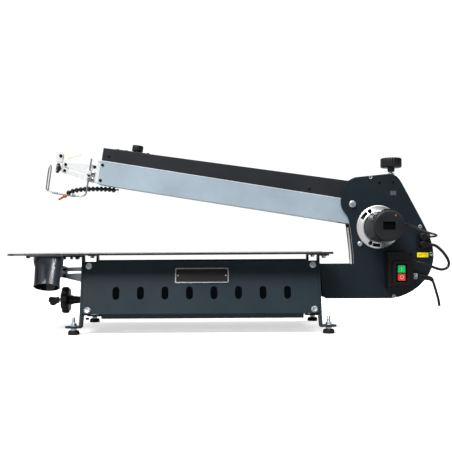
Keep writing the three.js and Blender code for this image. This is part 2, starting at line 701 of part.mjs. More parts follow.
// shaft, eccentric and a half-disc weight on the front side
const motorCrank = join(
  rodY(-33.5, -5, ...MOTOR, 6, 24),
  rodY(-5.5, 4.5, MOTOR[0] + CRANK_THROW, MOTOR[1], 10, 32),
  extrudeXZ(arc(...MOTOR, 25, Math.PI / 2, 1.5 * Math.PI, 16), -16, -6),
);
add("motor_crank", motorCrank, MAT.steel, head);

// ---------------------------------------------------------------- motor
// a part turned about the motor's axis, running to the right from y
const onMotor = (profile, y) =>
  turned(profile, 56).rotateX(Math.PI / 2).translate(MOTOR[0], y, MOTOR[1]);

function motorFlange() {
  const profile = [[0, 0], [55.7, 0], [55.7, 5], [49, 6], [46.5, 14], [0, 14]];
  const halfSlot = 0.16; // radians
  const slots = [135, 255, 375].map((degrees) => {
    const from = degToRad(degrees) - halfSlot;
    const to = degToRad(degrees) + halfSlot;
    const outer = arc(...MOTOR, 53.6, from, to, 8);
    return extrudeXZ([...outer, ...arc(...MOTOR, 49.6, from, to, 8).reverse()], -50, -30);
  });
  return cut(onMotor(profile, MOUNT_Y), rodY(-60, -30, ...MOTOR, 38.3, 56), ...slots);
}
add("motor_flange", motorFlange(), MAT.alu, head);

const motorBody = cut(
  rodY(-128, -PLATE_OUTER - 0.6, ...MOTOR, 37.9, 56),
  rodY(-60, -30, ...MOTOR, 7, 24),
);
add("motor_body", motorBody, MAT.plastic, head);

function motorEndCap() {
  const [x, z] = MOTOR;
  const cap = onMotor([[0, 0], [38.6, 0], [38.6, 25], [36.6, 31.7], [0, 31.7]], -128.3);
  const topRib = block(x - 12, x + 12, -158, -134, z + 34, z + 40.6);
  const endRecess = block(x - 15, x + 15, -165, -156.5, z - 10.5, z + 9.5);
  return cut(join(cap, topRib), endRecess);
}
add("motor_end_cap", motorEndCap(), MAT.plastic, head);

// ---------------------------------------------------------------- no-volt switch and leads
const SWITCH = { x0: 541.5, x1: 603, z0: -95.5, z1: -3, lidY: -76 };
const LEAD_Y = -58; // the leads enter the switch box here
const SUPPLY_Z = -28.5;
const MAINS_Z = -63.8;

function roundedBlock(x0, x1, z0, z1, y0, y1, radius) {
  const corners = [[x0, z0, radius], [x1, z0, radius], [x1, z1, radius], [x0, z1, radius]];
  return extrudeXZ(rounded(corners, 4), y0, y1);
}
const switchBlock = (inset, y0, y1, radius) => {
  const { x0, x1, z0, z1 } = SWITCH;
  return roundedBlock(x0 + inset, x1 - inset, z0 + inset, z1 - inset, y0, y1, radius);
};

const switchLid = cut(
  join(switchBlock(0, -80, -76.3, 4), roundedBlock(551, 592.5, -84.5, -25, -87, -79, 3)),
  block(559.5, 586.5, -90, -70, -77, -31.5),
);
add("switch_lid", switchLid, MAT.plastic, head);
add("start_button", block(563.8, 582.8, -89, -77.5, -53.4, -35), MAT.green, head);
add("stop_button", block(563.8, 582.8, -90, -77.5, -73.8, -55), MAT.red, head);

// a cable gland in the box's rear wall
function gland(z, length) {
  const profile = [
    [0, 0], [9.2, 0], [9.2, 5.5], [7.6, 6.5], [7.6, length - 5], [5.2, length], [0, length],
  ];
  const nut = turned(profile, 12).rotateY(Math.PI / 2).translate(SWITCH.x1 - 0.5, LEAD_Y, z);
  return join(nut, rodX(599.5, SWITCH.x1 + 1, LEAD_Y, z, 4.6, 20));
}

// the shell with its cable glands screwed hard into the wall
function switchBox() {
  const shell = cut(
    switchBlock(0, SWITCH.lidY, MOUNT_Y, 4),
    switchBlock(2.5, SWITCH.lidY - 2, MOUNT_Y - 2.5, 2),
    ...[SUPPLY_Z, MAINS_Z].map((z) => rodX(598, 606, LEAD_Y, z, 5, 20)),
  );
  const boot = turned([[0, 0], [7, 0], [6.4, 30], [5.4, 34], [0, 34]], 20)
    .rotateY(degToRad(99))
    .translate(SWITCH.x1 + 15, LEAD_Y, MAINS_Z);
  const mainsBore = [[640, LEAD_Y, -67.3], [646, LEAD_Y, -68.25], [655, LEAD_Y, -69.7]];
  return join(
    shell,
    cut(gland(SUPPLY_Z, 13), rodX(610, 620, LEAD_Y, SUPPLY_Z, 4.1, 16)),
    cut(join(gland(MAINS_Z, 18), boot), cable(mainsBore, 4.2, 2, 14)),
  );
}
add("switch_box", switchBox(), MAT.plastic, head);

// cable paths, [X, Y, Z]
const MAINS_PATH = [
  [641.5, -58, -67.55], [646, -58, -68.25], [652.5, -58, -69.7], [658, -58, -75],
  [663, -58, -88], [667.5, -58, -104], [672.5, -58, -122], [675.5, -58, -140],
];
const MOTOR_CABLE_PATH = [
  [565, -145, 66], [575, -144, 64], [592, -132, 59.6], [612, -112, 54], [634, -88, 48.5],
  [655, -66, 44.2], [668, -54.5, 41.4], [671.5, -49.5, 39.2], [667, -48, 37.4],
  [658, -48, 36.7], [650, -48, 36.6],
];
const SUPPLY_PATH = [
  [650, -48, 16.4], [657, -48, 16.4], [668, -49, 14], [681, -50, 4], [692.5, -51, -9.5],
  [700, -52, -23.5], [701.6, -53, -33.5], [696, -54, -43], [682, -56, -47], [660, -57.5, -41],
  [638, -58, -33.4], [624, -58, -29.3], [611, -58, -28.5],
];
add("mains_cable", cable(MAINS_PATH, 3.4, 14, 8), MAT.cable, head);

function plug(z, boreRadius) {
  const x = 637.5;
  const body = join(rodY(-56, MOUNT_Y, x, z, 9, 24), rodX(x, 655, -48, z, 6, 20, 5));
  return cut(body, rodX(647, 660, -48, z, boreRadius, 16));
}
add("motor_plug", plug(36.6, 3.6), MAT.plastic, head);
add("supply_plug", plug(16.4, 4.2), MAT.plastic, head);
add("motor_cable", cable(MOTOR_CABLE_PATH, 2.7, 30, 7), MAT.cable, head);
add("supply_cable", cable(SUPPLY_PATH, 3.6, 32, 8), MAT.cable, head);

// ---------------------------------------------------------------- tension screw and lift pivot
// the screw sets the arm's working height and the blade tension
const tensionKnob = join(
  extrudeXY(circle(TENSION_X, 0, 26.75, 64, -0.45, 16), 217.8, 243.2),
  rodZ(207.5, 218.5, TENSION_X, 0, 9.2, 24),
  rodZ(127.5, 208, TENSION_X, 0, 5, 20),
  rodZ(200.2, 203.4, TENSION_X, 0, 9, 24),
);
add("tension_knob", tensionKnob, MAT.plastic, head);

const tensionNut = cut(
  block(TENSION_X - 12, TENSION_X + 12, -12, 12, 124.5, 142),
  rodZ(120, 150, TENSION_X, 0, 5.4, 20),
);
add("tension_nut", tensionNut, MAT.steel, head);

// shoulder bolt of the lift pivot; its mate is the stud on the left plate
const armPivotBolt = join(
  rodY(-PLATE_OUTER - 1, -19.5, ...ARM_PIVOT, 6, 28),
  hexagon(ARM_PIVOT, 9.6, -PLATE_OUTER - 7.5, MOUNT_Y),
);
add("arm_pivot_bolt", armPivotBolt, MAT.zinc, head);

// ================================================================ upper arm, raised at rest
arm.position.set(ARM_PIVOT[0], 0, ARM_PIVOT[1]);
arm.rotation.y = ARM_RISE;
head.add(arm);

function armChannel() {
  const front = -658;
  const rear = 45;
  const bottom = -50.5;
  const top = 11;
  const trough = cut(
    block(front, rear, -ARM_HALF, ARM_HALF, bottom, top),
    block(front - 5, rear + 5, -ARM_INNER, ARM_INNER, bottom + ARM_SHEET, top + 5),
    block(-28, rear + 5, -ARM_INNER, ARM_INNER, bottom - 5, top + 5),
  );
  const tail = [[rear - 6, -30], [117, -18], [119, -8], [117, 2], [rear - 6, top]];
  const channel = join(
    trough,
    extrudeXZ(tail, ARM_INNER, ARM_HALF),
    extrudeXZ(tail, -ARM_HALF, -ARM_INNER),
    rodY(-ARM_HALF, ARM_HALF, 107, -8, 5, 20),
  );
  return cut(channel, rodY(-40, 40, 0, 0, 6.3, 28));
}
add("upper_arm_channel", armChannel(), MAT.armBlue, arm);

const COVER_FRONT = -657;
const COVER_SLOPE = 14.5 / 644; // the cover's top rises towards the rear
const coverTop = (x) => 44.3 + (x - COVER_FRONT) * COVER_SLOPE;

function armCover() {
  const front = COVER_FRONT;
  const rear = 28;
  const half = ARM_INNER - 0.4;
  const wall = 2;
  const outside = [[front, -4], [rear, -4], [rear, coverTop(rear)], [front, coverTop(front)]];
  const inside = [
    [front - 4, -8],
    [rear + 4, -8],
    [rear + 4, coverTop(rear) - wall],
    [front + wall, coverTop(front) - wall],
    [front + wall, 8],
    [front - 4, 8],
  ];
  return cut(
    extrudeXZ(outside, -half, half),
    extrudeXZ(inside, -half + wall, half - wall),
    rodY(-40, 40, 0, 0, 8, 28),
    block(-626, -608, -6.5, 6.5, 30, 60), // opening below the power rocker
  );
}
add("upper_arm_cover", armCover(), MAT.armBlack, arm);

const POST = [-684.5, -16.4]; // [X, Y] of the hold-down post

function noseBlock() {
  const half = ARM_INNER - 0.3;
  const inner = ARM_INNER - 3.2;
  const tongue = [[-650, -47.6, 0], [-650, -17, 0], [-680.5, -17, 5], [-680.5, -47.6, 5]];
  const core = cut(
    block(-666.8, -640, -half, half, -47.6, -6.5),
    block(-668, -661.8, -9.6, 9.6, -60, 12),
  );
  const body = join(
    core,
    block(-661, -640, -inner, inner, -7, 7),
    extrudeXZ(rounded(tongue, 4), -5.6, 5.6),
    // upright ears either side of the push rod
    block(-666.8, -658.6, -half, -12, -7, 10.4),
    block(-666.8, -658.6, 12, half, -7, 10.4),
    // bracket and socket for the hold-down post
    block(-690.5, -655, -12.4, -10.2, -47.6, -16),
    block(-690.5, -680.2, -20.6, -10.2, -38, -20),
  );
  return cut(
    body,
    ...jointHoles(UPPER_FIXED, UPPER_FIXED_LOW),
    rodX(-670, -630, 0, -6.9, 7.8, 24),
    block(-670, -655, -9.6, 9.6, -16.4, 12),
    rodZ(-60, 20, ...POST, 3.3, 20),
  );
}
add("arm_nose_block", noseBlock(), MAT.alu, arm);

const upperBellCrank = link(
  hullOf([UPPER_CLAMP, LINK_END], [UPPER_FIXED, CRANK_END], [UPPER_ROD, CRANK_END]),
  [UPPER_FIXED, UPPER_CLAMP, UPPER_ROD],
  block(-730, -708, -6.5, 6.5, -21, -14),
);
add("upper_bell_crank", upperBellCrank, MAT.alu, arm);

const upperLinkBottom = link(
  capsule(UPPER_CLAMP_LOW, UPPER_FIXED_LOW, LINK_END),
  [UPPER_FIXED_LOW, UPPER_CLAMP_LOW],
  block(-728, -706, -6.5, 6.5, -38, -32),
);
add("upper_link_bottom", upperLinkBottom, MAT.alu, arm);
add("upper_push_rod", pushRod(UPPER_ROD, [0, 0], 2, 7), MAT.zinc, arm);

// ---------------------------------------------------------------- upper blade clamp
const THUMB_SCREW = { x: -755, y: 2, z: -24.4 };

// carried by the two upper links
function upperClamp() {
  const body = [
    [-777, -2.2], [-777, -8.6], [-760, -9.2], [-760, -32], [-757, -35], [-743.5, -35],
    [-743.5, -5.5], [-750, -2.2],
  ];
  const headBlock = [[-779, -3, 2], [-761, -3, 2], [-761, 18, 4], [-779, 18, 4]];
  const { y, z } = THUMB_SCREW;
  return cut(
    join(
      extrudeXZ(body, -5.6, 5.6),
      block(-760, -757.4, -8, 8, -32, -10),
      extrudeXZ(rounded(headBlock, 3), -8.5, 8.5),
      block(-777, -761, -8.5, 8.5, -8.6, -2),
    ),
    ...jointHoles(UPPER_CLAMP, UPPER_CLAMP_LOW),
    block(-776, -750, -5, 5, 3.5, 22), // lever slot
    rodX(-770, -752, y, z, 3.4, 20),
    rodX(-770, -752, 0, z, 4.6, 20),
  );
}
add("upper_blade_clamp", upperClamp(), MAT.alu, arm);

function tensionLever() {
  const blade = [
    [-760.6, 6, 1], [-752, 2, 2], [-717, 18.6, 1.2], [-717.5, 21, 1.2], [-760.6, 20.5, 1.5],
  ];
  return join(extrudeXZ(rounded(blade, 3), -4.2, 4.2), rodY(-4.2, 4.2, -764.5, 11, 5.6, 24));
}
add("tension_lever", tensionLever(), MAT.cream, arm);

// thumb screw that pinches the blade, turned to face forwards
const screwHolder = new THREE.Group();
screwHolder.position.set(THUMB_SCREW.x, THUMB_SCREW.y, THUMB_SCREW.z);
screwHolder.rotation.z = degToRad(-68);
arm.add(screwHolder);
const thumbScrew = join(
  rodY(-11, -2, 0, 0, 2.6, 16),
  rodY(-13.5, -9.2, 0, 0, 7.5, 28),
  rodY(-19.5, -12.5, 0, 0, 13, 40),
);
add("clamp_thumb_screw", thumbScrew, MAT.plastic, screwHolder);

// ---------------------------------------------------------------- hold-down and blower
// paths in the arm's frame, [x, y, z]
const POST_PATH = [
  [...POST, 13], [...POST, -20], [...POST, -60], [...POST, -78], [-686.5, -16, -83],
  [-691.5, -15, -87], [-699, -13, -88.4], [-711, -9, -89], [-722, -5, -89.2],
];
const GUARD_PATH = [
  [-758, 6.5, -87.6], [-775, 8.6, -87.4], [-785, 9.6, -86.6], [-789, 10, -82],
  [-790, 10.4, -50], [-790.5, 9.5, -28], [-790.5, 5, -21.6], [-790.5, -2, -20],
  [-790.5, -9, -21.6], [-790.5, -13.5, -28], [-790, -14.4, -50], [-789, -14, -82],
  [-785, -13, -86.6], [-775, -12, -87.4], [-758, -10.2, -87.6],
];
const HOSE_PATH = [
  [-615, 12, -57.4], [-639, 13, -58.6], [-660, 14.5, -61], [-682, 16, -64.6],
  [-696, 17, -67], [-711, 17.6, -71], [-724, 18, -75.8], [-734, 18, -81.4], [-740.3, 18, -88],
];

// cut off square where it meets the foot
const postTrim = block(-760, -714, -40, 30, -100, -80);
add("hold_down_post", cut(cable(POST_PATH, 2.9, 22, 10), postTrim), MAT.zinc, arm);

function holdDownFoot() {
  const plan = [[-774, -13, 3], [-714.8, -14, 3], [-714.8, 6, 3], [-774, 9, 3]];
  const foot = join(
    extrudeXY(rounded(plan, 4), -92.4, -89.6),
    block(-721, -714.8, -13, -3, -90, -86),
  );
  return cut(foot, block(-780, -754, -4.4, 0.4, -100, -80)); // blade slot
}
add("hold_down_foot", holdDownFoot(), MAT.zinc, arm);
add("finger_guard", cable(GUARD_PATH, 1.9, 44, 7), MAT.zinc, arm);
add("blower_hose", cable(HOSE_PATH, 6.2, 18, 10), MAT.plastic, arm);

const nozzle = turned([[0, 0], [5.2, 0], [5.2, 5], [2.9, 8], [2.5, 24], [0, 24]], 20)
  .rotateX(degToRad(149))
  .rotateY(degToRad(45))
  .translate(-742.5, 17.4, -90.8);
add("blower_nozzle", nozzle, MAT.orange, arm);

// ---------------------------------------------------------------- controls on top of the arm
const CONTROLS_X = -584;
const DIAL_X = 12; // places in the control panel's own frame
const ROCKER_X = -33;
const controls = new THREE.Group();
controls.position.set(CONTROLS_X, 0, coverTop(CONTROLS_X) + 0.3);
controls.rotation.y = -Math.atan(COVER_SLOPE);
arm.add(controls);

const controlPlate = cut(
  extrudeXY(rounded([[-46, -15, 3], [46, -15, 3], [46, 15, 3], [-46, 15, 3]], 4), 0, 1.6),
  block(ROCKER_X - 8.9, ROCKER_X + 8.9, -6.2, 6.2, -2, 4),
);
add("control_plate", controlPlate, MAT.plastic, controls);

const speedDial = join(
  extrudeXY(circle(DIAL_X, 0, 14.05, 48, -0.35, 24), 4, 20),
  rodZ(1.9, 4.5, DIAL_X, 0, 10, 28),
);
add("speed_dial", speedDial, MAT.plastic, controls);

const rockerProfile = [
  [ROCKER_X - 7.4, -2, 0], [ROCKER_X + 7.4, -2, 0], [ROCKER_X + 7.4, 3, 0.8],
  [ROCKER_X, 2.2, 6], [ROCKER_X - 7.4, 4.6, 0.8],
];
add("power_rocker", extrudeXZ(rounded(rockerProfile, 3), -5.4, 5.4), MAT.plastic, controls);

export default saw;
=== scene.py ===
# Looks for a scroll saw: a base with its work table, a tilting head with the motor, and an
# upper arm. The blade end (front) is towards -X, the machine's right side -Y, up +Z.
# Shapes are drawn in millimetres and stored in metres in the row frame.
import json
import math

import bpy
import bmesh
from mathutils import Matrix, Vector

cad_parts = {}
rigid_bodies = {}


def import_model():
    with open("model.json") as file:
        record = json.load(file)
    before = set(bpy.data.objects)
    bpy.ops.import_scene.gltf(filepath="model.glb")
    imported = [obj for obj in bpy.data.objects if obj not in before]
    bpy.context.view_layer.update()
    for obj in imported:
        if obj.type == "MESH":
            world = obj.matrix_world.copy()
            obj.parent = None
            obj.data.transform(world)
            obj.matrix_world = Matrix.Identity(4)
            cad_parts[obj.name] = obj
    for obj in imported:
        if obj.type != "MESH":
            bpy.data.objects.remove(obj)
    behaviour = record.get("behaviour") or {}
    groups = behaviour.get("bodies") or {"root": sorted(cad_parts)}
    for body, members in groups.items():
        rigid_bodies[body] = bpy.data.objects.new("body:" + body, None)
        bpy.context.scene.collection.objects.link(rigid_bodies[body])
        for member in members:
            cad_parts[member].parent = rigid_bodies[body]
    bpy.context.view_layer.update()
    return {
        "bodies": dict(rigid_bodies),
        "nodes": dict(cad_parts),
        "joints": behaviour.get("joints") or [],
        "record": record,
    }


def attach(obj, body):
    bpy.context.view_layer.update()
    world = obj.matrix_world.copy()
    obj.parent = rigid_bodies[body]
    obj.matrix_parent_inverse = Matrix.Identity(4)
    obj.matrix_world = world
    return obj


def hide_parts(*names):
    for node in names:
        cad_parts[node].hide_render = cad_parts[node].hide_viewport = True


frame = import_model()
CAD_NODES = frame["nodes"]
SCENE = bpy.context.scene
MM = 0.001

# ------------------------------------------------------------------ shader nodes


class Nodes:
    """Short calls that add nodes to a tree and wire them."""

    def __init__(self, tree):
        self.tree = tree

    def feed(self, socket, value):
        """Link another socket, or store a number or an RGB colour."""
        if isinstance(value, bpy.types.NodeSocket):
            self.tree.links.new(value, socket)
        elif socket.type == "RGBA":
            socket.default_value = (*value, 1)
        else:
            socket.default_value = value

    def node(self, kind, inputs=None, **settings):
        node = self.tree.nodes.new(kind)
        for key, value in settings.items():
            setattr(node, key, value)
        for key, value in (inputs or {}).items():
            self.feed(node.inputs[key], value)
        return node

    def calc(self, operation, *values):
        return self.node("ShaderNodeMath", dict(enumerate(values)), operation=operation).outputs[0]

    def remap(self, value, source, to=(0.0, 1.0)):
        """Carry the source range onto the target range, clamped."""
        ends = {"From Min": source[0], "From Max": source[1], "To Min": to[0], "To Max": to[1]}
        return self.node("ShaderNodeMapRange", {"Value": value, **ends}).outputs["Result"]

    def mix(self, factor, first, second, kind="RGBA"):
        # the Mix node keeps its colour and float sockets at different places
        slot, out = (6, 2) if kind == "RGBA" else (2, 0)
        sockets = {0: factor, slot: first, slot + 1: second}
        return self.node("ShaderNodeMix", sockets, data_type=kind).outputs[out]


class Surface(Nodes):
    """A new material around its Principled BSDF."""

    SOCKETS = {
        "base": "Base Color", "rough": "Roughness", "metal": "Metallic", "normal": "Normal",
        "coat": "Coat Weight", "coat_rough": "Coat Roughness", "spec": "Specular IOR Level",
        "glow": "Emission Color", "glow_strength": "Emission Strength",
    }

    def __init__(self, name):
        self.material = bpy.data.materials.new(name)
        self.material.use_nodes = True
        super().__init__(self.material.node_tree)
        self.position = self.node("ShaderNodeTexCoord").outputs["Object"]

    def stretched(self, scale):
        mapping = self.node("ShaderNodeMapping", {"Scale": scale, "Vector": self.position})
        return mapping.outputs["Vector"]

    def noise(self, scale, detail=3.0, rough=0.55, vector=None):
        vector = vector or self.position
        inputs = {"Scale": scale, "Detail": detail, "Roughness": rough, "Vector": vector}
        return self.node("ShaderNodeTexNoise", inputs).outputs["Fac"]

    def edges(self, radius):
        """1 along convex edges and in corners, 0 on flats."""
        bevel = self.node("ShaderNodeBevel", {"Radius": radius}, samples=4)
        normal = self.node("ShaderNodeNewGeometry").outputs["Normal"]
        inputs = {0: bevel.outputs["Normal"], 1: normal}
        dot = self.node("ShaderNodeVectorMath", inputs, operation="DOT_PRODUCT")
        return self.remap(dot.outputs["Value"], (0.97, 0.80))

    def bump(self, height, strength, distance):
        inputs = {"Strength": strength, "Distance": distance, "Height": height}
        return self.node("ShaderNodeBump", inputs).outputs["Normal"]

    def put(self, **values):
        shader = self.tree.nodes["Principled BSDF"]
        for key, value in values.items():
            self.feed(shader.inputs[self.SOCKETS[key]], value)
        return self.material


def shade(color, gain, lift=0.0):
    """The colour times a gain (one number or one per channel), plus a lift, at most 1."""
    gains = gain if isinstance(gain, tuple) else (gain,) * 3
    return tuple(min(1, c * g + lift) for c, g in zip(color, gains))


# ------------------------------------------------------------------ material families


def powder(name, color, worn, rough=0.42, grain=0.16, wear=0.5, spec=0.5):
    """Powder coat: orange peel, faint blotches, light specks, paint thinned along the edges."""
    s = Surface(name)
    peel = s.noise(scale=1100, detail=2.0, rough=0.5)
    fine = s.noise(scale=3800, detail=1.0, rough=0.5)
    cloud = s.noise(scale=9, detail=4.0, rough=0.6)
    base = s.mix(s.remap(cloud, (0.3, 0.7)), shade(color, 0.90), shade(color, 1.10))
    speck = s.remap(s.noise(scale=2600, detail=0.0), (0.70, 0.78))
    base = s.mix(s.calc("MULTIPLY", speck, 0.25), base, shade(color, 1.6, lift=0.01))
    patches = s.remap(s.noise(scale=160, detail=4.0, rough=0.7), (0.38, 0.66), to=(0.15, 1.0))
    edge = s.calc("MULTIPLY", s.edges(radius=0.0011), patches)
    base = s.mix(s.calc("MULTIPLY", edge, wear), base, worn)
    gloss = s.remap(cloud, (0.3, 0.7), to=(rough - 0.05, rough + 0.06))
    gloss = s.calc("ADD", gloss, s.calc("MULTIPLY", fine, 0.04))
    height = s.calc("ADD", peel, s.calc("MULTIPLY", fine, 0.4))
    normal = s.bump(height, strength=grain, distance=0.00025)
    return s.put(base=base, rough=gloss, normal=normal, spec=spec)


def brushed(name, color, rough, along, dark=0.75, bump=0.10, stain=0.25, metal=1.0):
    """Ground or brushed metal: fine scratches, faint stains, brighter edges.

    along is the noise scale on each axis; scratches run along the axis with a small one."""
    s = Surface(name)
    streak = s.noise(scale=1.0, detail=4.0, rough=0.65, vector=s.stretched(along))
    wide = (along[0] * 0.6, along[1] * 0.12, along[2] * 0.12)
    broad = s.noise(scale=1.0, detail=3.0, rough=0.6, vector=s.stretched(wide))
    cloud = s.noise(scale=7, detail=5.0, rough=0.62)
    both = s.calc("ADD", s.calc("MULTIPLY", streak, 0.65), s.calc("MULTIPLY", broad, 0.35))
    base = s.mix(s.remap(both, (0.32, 0.68)), shade(color, dark), shade(color, 1.08))
    stains = s.calc("MULTIPLY", s.remap(cloud, (0.52, 0.72)), stain)
    base = s.mix(stains, base, shade(color, (0.62, 0.56, 0.50)))
    edge = s.calc("MULTIPLY", s.edges(radius=0.0008), 0.4)
    base = s.mix(edge, base, shade(color, 1.3))
    gloss = s.remap(streak, (0.3, 0.7), to=(rough - 0.07, rough + 0.09))
    gloss = s.calc("ADD", gloss, s.remap(cloud, (0.4, 0.7), to=(0.0, 0.06)))
    normal = s.bump(streak, strength=bump, distance=0.0001)
    return s.put(base=base, rough=gloss, metal=metal, normal=normal)


def plated(name, color, rough):
    """Bright zinc: bluish and straw bloom, fine spangle."""
    s = Surface(name)
    bloom = s.noise(scale=120, detail=3.0, rough=0.6)
    grain = s.noise(scale=2400, detail=2.0, rough=0.6)
    bluish, straw = shade(color, (0.86, 0.95, 1.04)), shade(color, (1.04, 1.0, 0.93))
    base = s.mix(s.remap(bloom, (0.38, 0.62)), bluish, straw)
    spangle = s.calc("MULTIPLY", s.remap(grain, (0.6, 0.72)), 0.3)
    base = s.mix(spangle, base, shade(color, 0.7))
    gloss = s.remap(bloom, (0.3, 0.7), to=(rough - 0.06, rough + 0.1))
    normal = s.bump(grain, strength=0.08, distance=0.0001)
    return s.put(base=base, rough=gloss, metal=1.0, normal=normal)


def moulded(name, color, rough, grain, scale=1500, spec=0.45, wear=0.35, coat=0.0):
    """Moulded plastic: fine grain, slight sheen changes, lighter rubbed edges."""
    s = Surface(name)
    pits = s.noise(scale=scale, detail=2.0, rough=0.55)
    cloud = s.noise(scale=24, detail=4.0, rough=0.6)
    base = s.mix(s.remap(cloud, (0.3, 0.7)), shade(color, 0.88), shade(color, 1.14, lift=0.001))
    edge = s.calc("MULTIPLY", s.edges(radius=0.0007), wear)
    base = s.mix(edge, base, shade(color, 1.5, lift=0.035))
    gloss = s.remap(cloud, (0.3, 0.7), to=(rough - 0.06, rough + 0.07))
    normal = s.bump(pits, strength=grain, distance=0.00018)
    return s.put(base=base, rough=gloss, normal=normal, spec=spec, coat=coat, coat_rough=0.2)


def rubbery(name, color, rough=0.72):
    """Matt rubber with upright scuffs."""
    s = Surface(name)
    fine = s.noise(scale=900, detail=3.0, rough=0.6)
    scuff = s.noise(scale=1.0, detail=4.0, rough=0.7, vector=s.stretched((60, 60, 240)))
    scuff = s.calc("MULTIPLY", s.remap(scuff, (0.52, 0.72)), 0.35)
    base = s.mix(scuff, color, shade(color, 2.2, lift=0.02))
    gloss = s.remap(fine, (0.3, 0.7), to=(rough - 0.08, rough + 0.08))
    normal = s.bump(fine, strength=0.2, distance=0.0002)
    return s.put(base=base, rough=gloss, normal=normal, spec=0.3)


def sheathed(name, color, rough):
    """Cable sheath: smooth vinyl with a fine grain and dull patches."""
    s = Surface(name)
    cloud = s.noise(scale=60, detail=3.0, rough=0.6)
    fine = s.noise(scale=1900, detail=1.0, rough=0.5)
    light = shade(color, 1.25, lift=0.003)
    base = s.mix(s.remap(cloud, (0.35, 0.65)), shade(color, 0.85), light)
    gloss = s.remap(cloud, (0.3, 0.7), to=(rough - 0.08, rough + 0.1))
    normal = s.bump(fine, strength=0.1, distance=0.0001)
    return s.put(base=base, rough=gloss, normal=normal, spec=0.45)


def printed(name, color):
    """Foil label: semi-gloss film with a faint grain."""
    s = Surface(name)
    cloud = s.noise(scale=300, detail=3.0, rough=0.6)
    base = s.mix(s.remap(cloud, (0.35, 0.65)), shade(color, 0.93), shade(color, 1.05))
    gloss = s.remap(cloud, (0.3, 0.7), to=(0.28, 0.42))
    normal = s.bump(cloud, strength=0.05, distance=0.0001)
    return s.put(base=base, rough=gloss, normal=normal)


def paint_side_shade(material):
    """Paint shade on faces that don't face up or down: darker and smoother."""
    nodes = Nodes(material.node_tree)
    shader = nodes.tree.nodes["Principled BSDF"]
    normal = nodes.node("ShaderNodeNewGeometry").outputs["Normal"]
    upright = nodes.node("ShaderNodeSeparateXYZ", {0: normal}).outputs["Z"]
    flat = nodes.remap(nodes.calc("ABSOLUTE", upright), (0.25, 0.6))
    # colour and roughness of the painted shade on the sides
    side_shade = (("Base Color", (0.30, 0.30, 0.31), "RGBA"), ("Roughness", 0.12, "FLOAT"))
    for name, value, kind in side_shade:
        socket = shader.inputs[name]
        ground = socket.links[0].from_socket
        nodes.feed(socket, nodes.mix(flat, value, ground, kind=kind))


# ------------------------------------------------------------------ materials

NAVY_WORN = (0.075, 0.10, 0.125)
NAVY = powder("navy_paint", (0.0135, 0.0265, 0.0365), NAVY_WORN, wear=0.4, spec=0.28)
# the same navy paint made darker for the head parts: painted shade
NAVY_SHADED = powder("navy_paint_head_shaded", (0.0085, 0.0165, 0.0240), NAVY_WORN, rough=0.44,
                   wear=0.4, spec=0.28)
ARM_BLUE = powder("arm_blue_paint", (0.385, 0.478, 0.550), worn=(0.80, 0.86, 0.90),
                  rough=0.34, grain=0.10, wear=0.7)
# pale paint for a painted highlight along the arm's top edges
ARM_HIGHLIGHT = powder("arm_painted_highlight", (0.74, 0.79, 0.82), worn=(0.9, 0.93, 0.95),
                 rough=0.3, grain=0.08)
ARM_BLACK = powder("arm_black_paint", (0.0150, 0.0175, 0.0220), worn=(0.10, 0.105, 0.12),
                   rough=0.48, grain=0.2, spec=0.3)
TABLE = brushed("table_steel", (0.46, 0.455, 0.46), rough=0.34, along=(4, 900, 900), stain=0.3)
# painted shade on the table's sides
paint_side_shade(TABLE)
ZINC = plated("zinc_plate", (0.80, 0.85, 0.90), rough=0.34)
DULL = plated("dull_zinc", (0.50, 0.52, 0.54), rough=0.30)
ALU = brushed("cast_aluminium", (0.80, 0.80, 0.81), rough=0.30, along=(260, 260, 1100),
              dark=0.86, bump=0.12, stain=0.08)
ALU_PALE = brushed("satin_aluminium", (0.92, 0.93, 0.94), rough=0.35, along=(260, 260, 1100),
                   dark=0.92, bump=0.08, stain=0.05, metal=0.35)
ALU_TURNED = brushed("turned_aluminium", (0.84, 0.85, 0.86), rough=0.27,
                     along=(1500, 1500, 1500), dark=0.84, stain=0.1)
STEEL = brushed("machined_steel", (0.46, 0.47, 0.49), rough=0.34, along=(900, 900, 60),
                stain=0.3)
PLASTIC = moulded("black_plastic", (0.0070, 0.0070, 0.0085), rough=0.40, grain=0.22,
                  spec=0.28, wear=0.55)
KNOB = moulded("knob_plastic", (0.0085, 0.0085, 0.0100), rough=0.33, grain=0.10,
               scale=2200, spec=0.4)
DUST = moulded("duct_plastic", (0.0065, 0.0085, 0.0115), rough=0.22, grain=0.03,
               scale=700, coat=0.3)
MOTOR_BLACK = powder("motor_black", (0.0085, 0.0085, 0.0100), worn=(0.06, 0.06, 0.065),
                     rough=0.38, grain=0.12, wear=0.25, spec=0.3)
CAP_GREY = moulded("motor_cap_plastic", (0.0150, 0.0165, 0.0195), rough=0.42, grain=0.2,
                   spec=0.28)
# painted shade: near-black for the dark insides of slots, recesses and gaps
PAINTED_SHADE = moulded("painted_shade_black", (0.0012, 0.0012, 0.0015), rough=0.6, grain=0.1,
               spec=0.08, wear=0.0)
RUBBER = rubbery("foot_rubber", (0.010, 0.010, 0.010))
CABLE = sheathed("cable_sheath", (0.0075, 0.0075, 0.0085), rough=0.26)
CREAM = powder("cream_plastic", (0.95, 0.92, 0.80), worn=(0.88, 0.74, 0.36),
               rough=0.32, grain=0.05, wear=0.9)
ORANGE = moulded("orange_plastic", (1.0, 0.125, 0.008), rough=0.38, grain=0.1, wear=0.2)
GREEN = moulded("green_plastic", (0.008, 0.92, 0.165), rough=0.3, grain=0.05,
                wear=0.12, spec=0.2)
RED = moulded("red_plastic", (1.0, 0.060, 0.030), rough=0.3, grain=0.05, wear=0.12, spec=0.2)
WHITE = printed("symbol_white", (0.88, 0.90, 0.88))
YELLOW = printed("label_yellow", (1.0, 0.80, 0.0))
